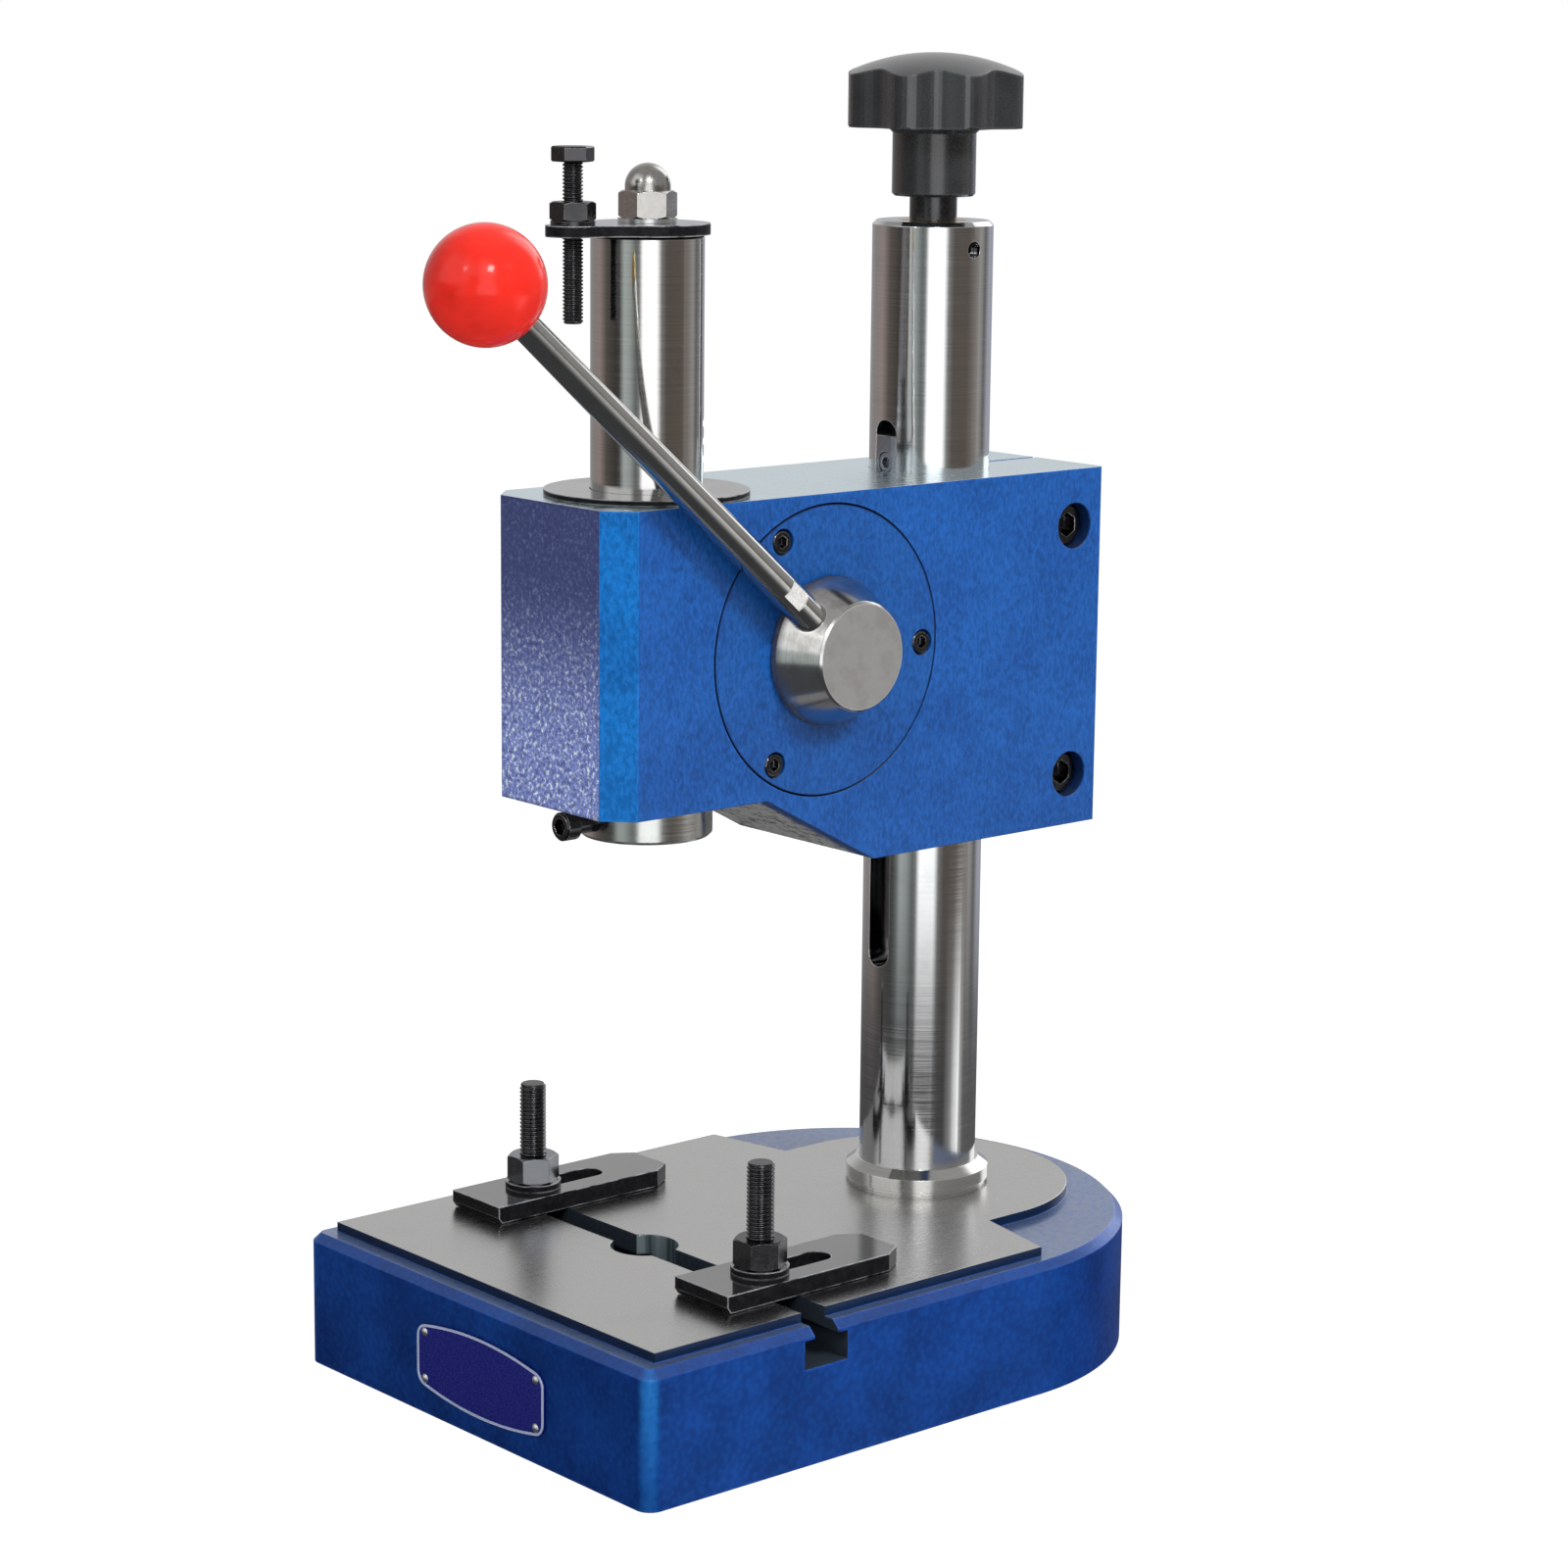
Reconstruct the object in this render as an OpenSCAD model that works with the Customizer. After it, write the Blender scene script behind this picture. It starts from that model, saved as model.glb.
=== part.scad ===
// Bench hand press: a lever turns a gear that drives a toothed ram down
// through a cast head, and a lead screw lifts the head along a round column.
// Millimetres. +Z is up, +X is the lever side and -Y is the front.
// The origin is on the ram axis, at the underside of the base.

/* [Base] */
// Width of the base, and twice the radius of its round back
base_w = 202; // [198:1:212]
// Distance from the ram axis forward to the front face
base_front = 80; // [78:1:88]
// Distance from the column axis forward to the centre of the round back
base_arc_offset = 30; // [26:1:34]
// Radius of the two front corners
base_corner_r = 6; // [4:0.5:9]
// Height of the painted rim
rim_h = 50; // [48:0.5:54]
// Bevel along the top of the painted rim
rim_bevel = 3; // [1:0.5:5]
// Rise of the ground table above the rim
table_lip_h = 3.5; // [2:0.5:5]
// Painted ledge left beside the table
side_ledge = 7.3; // [6:0.1:9]
// Painted ledge left in front of the table
front_ledge = 8.7; // [6:0.1:12]
// Distance from the column axis forward to the back corners of the table
table_rear_l = 24.2; // [20:0.2:28]
// How much further back the inner corners of the table lie
table_slant_l = 7.3; // [4:0.1:9]
// Radius of the tongue of the table round the column
tongue_r = 58.3; // [54:0.5:62]
// Thickness of the side walls under the base
base_wall = 12; // [9:0.5:15]
// Depth of the hollow under the base
hollow_h = 20; // [14:1:24]
// Thickness of the ribs in that hollow
rib_t = 9; // [6:0.5:12]
// Diameter of the hole through the table, under the ram
table_hole_d = 25; // [22:0.5:28]
// Wall of the boss round that hole
hole_boss_wall = 10; // [7:0.5:12]

/* [T slot] */
// Width of the mouth of the T slot
slot_w = 11; // [10.6:0.1:12]
// Depth of that mouth
slot_neck_h = 7.5; // [6:0.5:9]
// Width of the wide part of the T slot
tee_w = 20; // [19.2:0.2:23]
// Height of the wide part of the T slot
tee_h = 10.5; // [9:0.5:12]

/* [Column] */
// Distance from the ram axis back to the column axis
throat = 136; // [132:1:144]
// Diameter of the column
column_d = 45; // [43:0.5:47]
// Height of the top of the column above the underside of the base
column_top = 422.4; // [415:0.2:430]
// Bevel at the top of the column
column_bevel = 1.6; // [0.5:0.1:3]
// Height of the floor of the socket that holds the column
socket_floor = 24; // [20:1:28]
// Diameter of the bore down the column
column_bore_d = 26; // [25:0.5:28]
// Height of the bottom of that bore
bore_floor = 125; // [110:1:132]
// Width of the keyway in the front of the column
keyway_w = 11; // [10:0.5:13]
// Height of the bottom end of the keyway
keyway_bottom = 141; // [138:1:146]
// Rise of the top end of the keyway over the head at rest
keyway_above = 19; // [18.6:0.2:24]
// Diameter of the collar at the foot of the column
collar_d = 55; // [52:0.5:60]
// Height of that collar
collar_h = 9.5; // [7:0.5:10.5]
// Bevel on top of that collar
collar_bevel = 3; // [1:0.5:4]
// Thread diameter of the screw that holds the column down
foot_screw_d = 16; // [12:1:20]
// Reach of that screw into the column
foot_screw_reach = 28; // [20:1:40]
// Diameter of the recess for its head
foot_recess_d = 42; // [38:1:46]
// Depth of that recess
foot_recess_h = 16; // [15:0.5:18]
// Thickness of its washer
foot_washer_t = 3; // [2:0.5:4]
// Wall of the boss round the foot of the column
foot_boss_wall = 20; // [14:1:24]

/* [Lead screw] */
// Diameter over the threads
screw_d = 16; // [14:0.5:18]
// Diameter of the journal in the top bush
journal_d = 12; // [10:0.5:13]
// Thickness of the thrust shoulder
shoulder_h = 4; // [3:0.5:6]
// Diameter of the thrust shoulder
shoulder_d = 24; // [20:0.5:24.4]
// Height of the top bush
top_bush_h = 20; // [16:1:24]
// Diameter of the pin through the column that holds the bush
bush_pin_d = 6; // [4:0.5:8]
// Depth of the outer end of that pin under the column surface
bush_pin_recess = 3.4; // [1:0.2:4.5]
// Diameter of the thrust ring above the column
thrust_ring_d = 17.6; // [16:0.2:24]
// Height of the thrust ring
thrust_ring_h = 8.5; // [7:0.5:12]
// Space under the end of the screw
screw_end_gap = 5; // [3:1:12]
// Diameter of the bolt that ties the lift key to the head
lift_bolt_d = 8; // [7:0.5:8]
// Diameter of the two screws that hold the lift nut to its key
key_screw_d = 5; // [4:0.5:5.5]

/* [Star knob] */
// Radius over the lobes
knob_r = 34; // [31:0.5:38]
// Number of lobes
lobes = 8; // [6:1:9]
// Angle from the right side forward to the middle of a valley
knob_angle = 41; // [0:1:45]
// Depth of the valleys between the lobes
valley = 4.6; // [2:0.2:6]
// Height of the lobed rim at its edge
knob_rim_h = 19.2; // [15:0.2:24]
// Rise of the domed top above the edge
knob_dome_h = 8; // [4:0.5:10]
// Diameter of the neck
knob_neck_d = 31; // [27:0.5:36]
// Length of the neck
knob_neck_h = 25; // [18:0.5:32]
// Rounding at the foot of the neck and under the rim
knob_round = 2; // [1:0.2:3]
// Diameter of the steel insert
insert_d = 20; // [18:0.5:22]
// Thread diameter of the grub screw in the neck
knob_grub_d = 6; // [4:0.5:8]

/* [Head casting] */
// Width of the head
head_w = 75; // [74:0.5:80]
// Distance from the ram axis forward to the front face
head_front = 43.4; // [42:0.2:48]
// Distance from the column axis back to the rear face
head_back = 55.6; // [50:0.2:62]
// Height of the top face
head_top = 330.4; // [326:0.2:333]
// Height of the casting at the ram
front_h = 108; // [106:0.5:112]
// Height of the casting at the column
back_h = 135.8; // [128:0.2:136.5]
// Distance from the ram axis back to the start of the sloping underside
slope_start = 25.2; // [24.8:0.1:28]
// Distance from the column axis forward to the end of the slope
slope_end = 59.4; // [56:0.2:64]
// Flat cut on the two front corners
front_flat = 9.6; // [6:0.2:12]
// Small bevel on the rear corners
rear_bevel = 1.5; // [0.5:0.1:3]
// Width of the clamping slit behind the column
slit_w = 2; // [1.4:0.2:3]
// Distance from the column axis back to the clamp screws
clamp_y = 40.4; // [38:0.2:44]
// Drop of the upper clamp screw below the top face
clamp_drop = 21.4; // [18:0.2:26]
// Rise of the lower clamp screw above the underside
clamp_height = 19.4; // [16:0.2:24]
// Thread diameter of the clamp screws
clamp_d = 10; // [8:0.5:12]
// Diameter of the recess for their heads
clamp_recess_d = 17.4; // [17:0.2:20]
// Depth of that recess
clamp_recess = 14; // [12:0.5:16]

/* [Gear and rack] */
// Size of the teeth: pitch diameter over number of teeth
tooth_module = 2; // [1.9:0.1:2.1]
// Teeth on the gear
gear_teeth = 38; // [36:1:40]
// Slope of the flanks of the teeth
pressure_angle = 20; // [18:1:22]
// Width of the gear
gear_w = 20; // [16:1:21]
// Distance from the ram axis back to the pitch line of the rack
rack_pitch_y = 15; // [14.5:0.1:15.5]
// Side play of the teeth at the pitch line
tooth_play = 0.3; // [0.2:0.05:0.5]
// Distance from the top face of the head down to the gear shaft
shaft_drop = 56.4; // [55:0.2:58]
// Diameter of the gear shaft
shaft_d = 24; // [22:0.5:26]
// Diameter of its left journal
left_journal_d = 20; // [18:0.5:22]
// Diameter of its end that winds the spring
arbor_d = 14; // [12:0.5:16]
// Diameter of the boss of the gear
gear_boss_d = 36; // [33:0.5:40]
// Diameter of the holes that lighten the gear
gear_hole_d = 8.8; // [6:0.2:9.6]
// Width of the key in the gear
gear_key_w = 8; // [6:0.5:9]
// Height of that key
gear_key_h = 7; // [5:0.5:8]
// Room left round the gear inside the head
gear_room = 2; // [1.5:0.5:3]
// Wall of the two shaft bushes
bush_wall = 3; // [2:0.5:4]

/* [Covers] */
// Radius of the gear cover on the right
cover_r = 52.4; // [51:0.2:53]
// Thickness of the gear cover
cover_t = 10; // [9:0.5:11]
// Width of the groove round the gear cover
cover_groove = 0.6; // [0.2:0.1:1]
// Length of its inner boss
cover_boss_h = 8; // [6:0.5:9]
// Diameter of its inner boss
cover_boss_d = 40; // [36:1:46]
// Radius of the ring of cover screws
cover_screw_r = 46; // [45:0.2:47.4]
// Turn of the cover screws about the shaft, in degrees
cover_screw_angle = -2; // [-8:0.5:8]
// Radius of the spring cover on the left
left_cover_r = 44.5; // [43:0.5:47]
// Thickness of the spring cover
left_cover_t = 5.5; // [5.4:0.1:7]
// Thread diameter of the cover screws
cover_screw_d = 5; // [4:0.5:6]
// Reach of the cover screws into the casting
cover_screw_reach = 8; // [6:0.5:9]

/* [Return spring] */
// Thickness of the spring strip
spring_t = 1.2; // [0.8:0.1:1.4]
// Width of the strip
spring_w = 6.5; // [5:0.5:7]
// Turns of the spring
spring_turns = 5; // [4:1:6]
// Depth of the spring chamber
spring_room = 8; // [7.6:0.2:8.4]
// Radius of the spring chamber
spring_chamber_r = 34; // [32:0.5:35]
// Diameter of the post that holds its outer end
post_d = 5; // [4:0.5:6]

/* [Lever] */
// Radius of the hub at the cover
hub_r = 27; // [25:0.5:30]
// Radius of the hub at its outer face
hub_face_r = 19.8; // [18:0.2:23]
// Length of the hub
hub_h = 18.4; // [16:0.2:22]
// Straight length of the hub beside the cover
hub_rim_h = 2.4; // [1:0.2:4]
// Bevel round its outer face
hub_bevel = 0.8; // [0.4:0.1:1.5]
// Distance from the cover out to the middle of the lever
lever_x = 9.3; // [8:0.1:10]
// Slope of the lever above level, in degrees
lever_angle = 40.8; // [30:0.2:50]
// Distance from the shaft axis to the centre of the ball
lever_l = 209; // [180:1:230]
// Diameter of the lever beside the hub
lever_d = 12; // [10:0.5:13]
// Diameter of the lever beside the ball
lever_tip_d = 10; // [9:0.5:11.5]
// Diameter of its threaded ends
lever_thread_d = 8.6; // [7:0.2:9.4]
// Depth that it enters the hub and the ball
lever_entry = 12; // [8:0.5:14]
// Depth of the seat in the hub that takes the end of the lever
lever_seat = 4; // [4:0.2:5]
// Length of the round neck outside the hub
neck_l = 8; // [4:0.5:12]
// Length of the two flats for a spanner
flats_l = 9; // [6:0.5:14]
// Distance across those flats
flats_w = 10; // [9:0.2:11]
// Diameter of the ball
ball_d = 40.4; // [36:0.2:44]
// Wall of the threaded insert in the ball
insert_wall = 1.7; // [1:0.1:2.5]
// Diameter of the flat on the ball where the lever enters
ball_flat_d = 14; // [12:0.5:18]

/* [Ram] */
// Diameter of the ram
ram_d = 40; // [39:0.2:41]
// How far the ram stands out under the front of the head
ram_below = 14; // [12:0.2:18]
// Length of the ram
ram_l = 213; // [208:1:216]
// Bevel at the ends of the ram
ram_bevel = 1; // [0.5:0.1:2]
// Travel of the ram
stroke = 59; // [50:1:60]
// Diameter of the hole for tools in the lower end
tool_d = 16; // [12:0.5:20]
// Depth of that hole
tool_depth = 35; // [28:1:40]
// Diameter of the collar on the lower end
nose_d = 48; // [45:0.5:49]
// Thread diameter of the screw that holds the tool
tool_screw_d = 7; // [5:0.5:7.4]
// Diameter of its head
tool_screw_head_d = 10.3; // [9:0.1:11]
// Length of its head
tool_screw_head_h = 6; // [4:0.5:8]
// Distance from the ram axis to the underside of its head
tool_screw_seat = 33; // [30:0.5:38]
// Diameter of the wiper ring on top of the head
ring_d = 73; // [68:0.5:74]
// Thickness of the wiper ring
ring_t = 2; // [1.5:0.1:3]

/* [Stop] */
// Thickness of the plate on top of the ram
plate_t = 4; // [3:0.5:6]
// Radius of its large end
plate_r = 22; // [20.5:0.5:24]
// Radius of its small end
plate_tip_r = 9.5; // [8:0.5:11]
// Radius of its hollow sides
plate_waist_r = 20; // [14:1:30]
// Distance from the ram axis forward to the stop screw
stop_y = 33; // [31:0.5:34]
// Diameter of the stop screw
stop_d = 7.2; // [6:0.2:8]
// Size across the flats of its head
stop_af = 13; // [12:0.5:14]
// Height of its head
stop_head_h = 5.3; // [4:0.1:7]
// Distance from the top of the plate to the underside of its head
stop_above = 21.5; // [20:0.5:30]
// Size across the flats of the lock nut
lock_af = 14; // [13:0.5:15]
// Height of the lock nut
lock_h = 6.5; // [5:0.5:7]
// Diameter of the stud in the ram
stud_d = 12; // [10:0.5:13]
// Reach of the stud into the ram
stud_reach = 25; // [18:1:30]
// Size across the flats of the cap nut
cap_af = 18; // [17:0.5:20]
// Height of the hexagon of the cap nut
cap_hex_h = 9.5; // [8:0.5:11]
// Height of the cap nut
cap_h = 19; // [18:0.5:22]
// Thickness of the washers under the two nuts
top_washer_t = 1.5; // [1:0.1:2]

/* [Work clamps] */
// Distance from the left side of the base in to the left clamp
left_clamp_in = 34; // [29:1:37]
// Distance from the right side of the base in to the right clamp
right_clamp_in = 36; // [29:1:37]
// Diameter of the T bolts
bolt_d = 10; // [9:0.2:10.4]
// Height of the top of the T bolts above the table
bolt_above = 47; // [40:1:56]
// Height of the heads of the T bolts
tee_head_h = 8; // [6:0.5:8.5]
// Size across the flats of the clamp nuts
nut_af = 17; // [16:0.5:18]
// Height of the clamp nuts
nut_h = 10; // [8:0.5:12]
// Diameter of the clamp washers
washer_d = 21; // [20:0.5:24]
// Thickness of the clamp washers
washer_t = 2.5; // [1.5:0.5:3]
// Width of the straps
strap_w = 29; // [26:0.5:32]
// Thickness of the straps
strap_t = 6.5; // [5:0.5:9]
// Distance from the T bolt forward to the front end of a strap
strap_front_l = 27; // [24:0.5:34]
// Distance from the T bolt back to the rear end of a strap
strap_rear_l = 57; // [46:0.5:60]
// Distance from the T bolt back to the end of the slot in a strap
strap_slot_l = 32; // [22:0.5:36]
// Cut on the two rear corners of a strap
strap_cut = 5; // [3:0.5:8]

/* [Nameplate] */
// Width of the nameplate
name_w = 74.8; // [66:0.2:82]
// Height of the nameplate at its middle
name_h = 30; // [26:0.2:32]
// Bow of its two long edges
name_bulge = 4.2; // [2:0.1:6]
// Thickness of the nameplate
name_t = 0.8; // [0.5:0.1:1.5]
// Distance of its middle to the right of the ram axis
name_x = 7.3; // [0:0.1:12]
// Height of its middle above the underside of the base
name_z = 22.4; // [19:0.2:26]
// Radius of its corners
name_r = 5.5; // [3:0.5:8]
// Diameter of the rivets that hold it
rivet_d = 3.4; // [2:0.2:4]

/* [Fits] */
// Gap round a shaft or slide that moves
run_gap = 0.05; // [0.03:0.01:0.08]
// Gap round a piece that is fixed in its seat
fix_gap = 0.03; // [0.01:0.01:0.05]
// Gap between the end faces of pieces that move past each other
end_gap = 0.3; // [0.2:0.05:0.5]
// Overrun of every cut
cut = 1; // [0.5:0.1:2]

/* [Hidden] */
$fn = 72;

// Heights and depths of the base
table_top = rim_h + table_lip_h;
tee_roof = table_top - slot_neck_h;
tee_floor = tee_roof - tee_h;
arc_y = throat - base_arc_offset;
table_half = base_w / 2 - side_ledge;
left_clamp_x = base_w / 2 - left_clamp_in;
right_clamp_x = base_w / 2 - right_clamp_in;
hole_boss_d = table_hole_d + 2 * hole_boss_wall;
foot_boss_d = column_d + 2 * foot_boss_wall;

// The column, its bush and the lead screw
column_r = column_d / 2;
column_bore_r = column_bore_d / 2;
top_bush_z = column_top - top_bush_h;
bush_pin_z = column_top - top_bush_h / 2;
shoulder_top = top_bush_z - end_gap;
screw_bottom = bore_floor + screw_end_gap;
ring_z = column_top + end_gap;
knob_z = ring_z + thrust_ring_h + fix_gap;
rim_z = knob_z + knob_neck_h;
edge_z = rim_z + knob_rim_h;
knob_top = edge_z + knob_dome_h;
insert_h = knob_neck_h + knob_rim_h / 4;

// The head
head_half = head_w / 2;
head_rear_y = throat + head_back;
front_z = head_top - front_h;
back_z = head_top - back_h;
keyway_top = head_top + keyway_above;
slope_end_y = throat - slope_end;
clamp_screw_y = throat + clamp_y;
upper_clamp_z = head_top - clamp_drop;
lower_clamp_z = back_z + clamp_height;

// The gear, its shaft and the rack
pitch_r = tooth_module * gear_teeth / 2;
tooth_pitch = PI * tooth_module;
gear_tip_r = pitch_r + tooth_module;
root_share = 1.25;
gear_root_r = pitch_r - root_share * tooth_module;
base_circle_r = pitch_r * cos(pressure_angle);
shaft_y = rack_pitch_y + pitch_r;
shaft_z = head_top - shaft_drop;
chamber_r = gear_tip_r + gear_room;
right_wall_x = head_half - cover_t;
cover_boss_x = right_wall_x - cover_boss_h;
left_cover_x = head_half - left_cover_t;
spring_wall_x = left_cover_x - spring_room;
gear_x = gear_w / 2;
chamber_x = gear_x + end_gap;
rack_tip_y = rack_pitch_y + tooth_module;
rack_root_y = rack_pitch_y - root_share * tooth_module;
ram_r = ram_d / 2;
tooth_reach = sqrt(pow(gear_tip_r, 2) - pow(shaft_y - rack_tip_y, 2));
flat_reach = sqrt(pow(gear_tip_r, 2) - pow(shaft_y - ram_r, 2)) + cut;
lower_teeth = ceil(tooth_reach / tooth_pitch);
upper_teeth = ceil((stroke + tooth_reach) / tooth_pitch);

// The shaft along X, measured from the middle of the head
hub_x = head_half + end_gap;
arbor_end_x = left_cover_x - end_gap;
cover_recess_r = cover_r + cover_groove;

// The ram and what stands on it
ram_bottom = front_z - ram_below;
ram_top = ram_bottom + ram_l;
plate_top = ram_top + plate_t;
stop_tip = head_top + ring_t + stroke + end_gap;
stop_head_z = plate_top + stop_above;
nose_top = front_z - end_gap;
tool_screw_z = (ram_bottom + nose_top) / 2;

// Sizes of cap screws as shares of the thread
cap_head_share = 1.6;
socket_share = 0.8;
socket_depth_share = 0.55;
tip_bevel_share = 0.1;
hex_bevel_share = 0.6;
cover_head_share = 1.7;
cover_edge_share = 0.6;
rivet_side_share = 1.4;
rivet_edge_share = 0.6;
strap_cut_share = 1.6;

// Round bar along Z between two heights
module bar(d, z0, z1) {
    translate([0, 0, z0])
        cylinder(d = d, h = z1 - z0);
}

// Round bar along X at the gear shaft
module shaft_bar(d, x0, x1) {
    translate([x0, shaft_y, shaft_z])
        rotate([0, 90, 0])
            cylinder(d = d, h = x1 - x0);
}

// Six-sided bar along Z, sized across its flats
module hexagon(af, h) {
    cylinder(d = af / cos(30), h = h, $fn = 6);
}

// Hexagon with its corners bevelled at the top, and at the bottom if both is true
module bevelled_hex(af, h, both = true) {
    corner_r = af / cos(30) / 2;
    drop = (corner_r - af / 2) * hex_bevel_share;
    intersection() {
        hexagon(af, h);
        rotate_extrude()
            polygon([
                [0, 0],
                [both ? af / 2 : corner_r, 0],
                [corner_r, both ? drop : 0],
                [corner_r, h - drop],
                [af / 2, h],
                [0, h]
            ]);
    }
}

// Cap screw along Z: its head stands on z = 0 and its shank hangs down
module cap_screw(d, head_d, head_h, l) {
    bevel = tip_bevel_share * d;
    difference() {
        union() {
            cylinder(d = head_d, h = head_h - bevel);
            translate([0, 0, head_h - bevel])
                cylinder(d1 = head_d, d2 = head_d - 2 * bevel, h = bevel);
            translate([0, 0, -l + bevel])
                cylinder(d = d, h = l);
            translate([0, 0, -l])
                cylinder(d1 = d - 2 * bevel, d2 = d, h = bevel);
        }
        translate([0, 0, head_h * (1 - socket_depth_share)])
            hexagon(d * socket_share, head_h);
    }
}

// Block with the outline of the base: round at the back, two rounded front
// corners, and sides that lean in by lean over its height
module base_block(half, front, corner, z0, h, lean = 0) {
    translate([0, arc_y, z0])
        cylinder(r1 = half, r2 = half - lean, h = h);
    translate([0, arc_y, z0])
        rotate([90, 0, 0])
            linear_extrude(arc_y + front - corner)
                polygon([[-half, 0], [half, 0], [half - lean, h], [lean - half, h]]);
    translate([corner - half, -front, z0])
        rotate([90, 0, 90])
            linear_extrude(2 * (half - corner))
                polygon([[0, 0], [corner, 0], [corner, h], [lean, h]]);
    for (side = [-1, 1])
        translate([side * (half - corner), corner - front, z0])
            cylinder(r1 = corner, r2 = corner - lean, h = h);
}

module table_outline() {
    back_y = throat - table_rear_l;
    polygon([
        [-table_half, front_ledge - base_front],
        [table_half, front_ledge - base_front],
        [table_half, back_y],
        [tongue_r, back_y + table_slant_l],
        [tongue_r, throat],
        [-tongue_r, throat],
        [-tongue_r, back_y + table_slant_l],
        [-table_half, back_y]
    ]);
    translate([0, throat])
        circle(r = tongue_r);
}

module base_hollow() {
    half = base_w / 2 - base_wall;
    difference() {
        translate([0, 0, -cut])
            base_block(half, base_front - base_wall, base_corner_r, 0, hollow_h + cut);
        translate([0, throat, -cut])
            cylinder(d = foot_boss_d, h = hollow_h + 2 * cut);
        translate([0, 0, -cut])
            cylinder(d = hole_boss_d, h = hollow_h + 2 * cut);
        // Ribs from side to side and from front to back
        translate([-half - cut, -rib_t / 2, -cut])
            cube([2 * (half + cut), rib_t, hollow_h + 2 * cut]);
        translate([-rib_t / 2, -base_front, -cut])
            cube([rib_t, base_front + throat, hollow_h + 2 * cut]);
    }
}

module base_casting() {
    color("royalblue")
        difference() {
            union() {
                base_block(base_w / 2, base_front, base_corner_r, 0, rim_h - rim_bevel);
                base_block(base_w / 2, base_front, base_corner_r, rim_h - rim_bevel,
                    rim_bevel, rim_bevel);
                translate([0, 0, rim_h - rim_bevel])
                    linear_extrude(rim_bevel + table_lip_h)
                        table_outline();
            }
            base_hollow();
            // T slot from side to side
            translate([-base_w, -slot_w / 2, tee_floor])
                cube([2 * base_w, slot_w, table_top]);
            translate([-base_w, -tee_w / 2, tee_floor])
                cube([2 * base_w, tee_w, tee_h]);
            bar(table_hole_d, -cut, table_top + cut);
            // Socket and screw hole for the column
            translate([0, throat, 0]) {
                bar(column_d + 2 * fix_gap, socket_floor, table_top + cut);
                bar(foot_screw_d + 2 * run_gap, -cut, table_top);
                bar(foot_recess_d, -cut, foot_recess_h);
            }
        }
}

module foot_screw() {
    head_h = foot_recess_h - foot_washer_t - 2 * cut;
    color("dimgray")
        translate([0, throat, foot_recess_h - foot_washer_t])
            rotate([180, 0, 0])
                cap_screw(foot_screw_d, foot_screw_d * cap_head_share, head_h,
                    foot_washer_t + socket_floor - foot_recess_h + foot_screw_reach);
}

module foot_washer() {
    color("silver")
        translate([0, throat, foot_recess_h - foot_washer_t])
            difference() {
                bar(foot_recess_d - 2 * cut, 0, foot_washer_t);
                bar(foot_screw_d + 2 * run_gap, -cut, foot_washer_t + cut);
            }
}

module column() {
    thread_end = socket_floor + foot_screw_reach + 2 * cut;
    color("lightsteelblue")
        translate([0, throat, 0])
            difference() {
                union() {
                    bar(column_d, socket_floor, column_top - column_bevel);
                    translate([0, 0, column_top - column_bevel])
                        cylinder(r1 = column_r, r2 = column_r - column_bevel, h = column_bevel);
                }
                bar(column_bore_d, bore_floor, column_top + cut);
                bar(foot_screw_d + 2 * fix_gap, socket_floor - cut, thread_end);
                // Keyway in the front, with round ends
                for (z = [keyway_bottom + keyway_w / 2, keyway_top - keyway_w / 2])
                    translate([0, 0, z])
                        rotate([90, 0, 0])
                            cylinder(d = keyway_w, h = column_d);
                translate([-keyway_w / 2, -column_d, keyway_bottom + keyway_w / 2])
                    cube([keyway_w, column_d, keyway_top - keyway_bottom - keyway_w]);
                translate([0, 0, bush_pin_z])
                    rotate([0, 90, 0])
                        cylinder(d = bush_pin_d + 2 * fix_gap, h = column_d);
            }
}

module column_collar() {
    inner_r = column_r + fix_gap;
    outer_r = collar_d / 2;
    color("gainsboro")
        translate([0, throat, table_top])
            rotate_extrude()
                polygon([
                    [inner_r, 0],
                    [outer_r - collar_bevel / 3, 0],
                    [outer_r - collar_bevel / 3, collar_h / 6],
                    [outer_r, collar_h / 6],
                    [outer_r, collar_h - collar_bevel],
                    [inner_r + collar_bevel / 3, collar_h],
                    [inner_r, collar_h]
                ]);
}

module top_bush() {
    color("darkgoldenrod")
        translate([0, throat, 0])
            difference() {
                bar(column_bore_d - 2 * fix_gap, top_bush_z, column_top);
                bar(journal_d + 2 * run_gap, top_bush_z - cut, column_top + cut);
                translate([0, 0, bush_pin_z])
                    rotate([0, 90, 0])
                        cylinder(d = bush_pin_d + 2 * fix_gap, h = column_d);
            }
}

module bush_pin() {
    start = journal_d / 2 + run_gap + end_gap;
    color("dimgray")
        translate([start, throat, bush_pin_z])
            rotate([0, 90, 0])
                difference() {
                    cylinder(d = bush_pin_d, h = column_r - bush_pin_recess - start);
                    translate([0, 0, bush_pin_d])
                        hexagon(bush_pin_d / 2, column_r);
                }
}

module lead_screw() {
    bevel = screw_d * tip_bevel_share;
    color("silver")
        translate([0, throat, 0]) {
            translate([0, 0, screw_bottom])
                cylinder(d1 = screw_d - 2 * bevel, d2 = screw_d, h = bevel);
            bar(screw_d, screw_bottom + bevel, shoulder_top - shoulder_h);
            bar(shoulder_d, shoulder_top - shoulder_h, shoulder_top);
            bar(journal_d, shoulder_top, knob_z + insert_h);
        }
}

module thrust_ring() {
    color("dimgray")
        translate([0, throat, 0])
            difference() {
                bar(thrust_ring_d, ring_z, ring_z + thrust_ring_h);
                bar(journal_d + 2 * fix_gap, ring_z - cut, knob_z + cut);
            }
}

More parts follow.
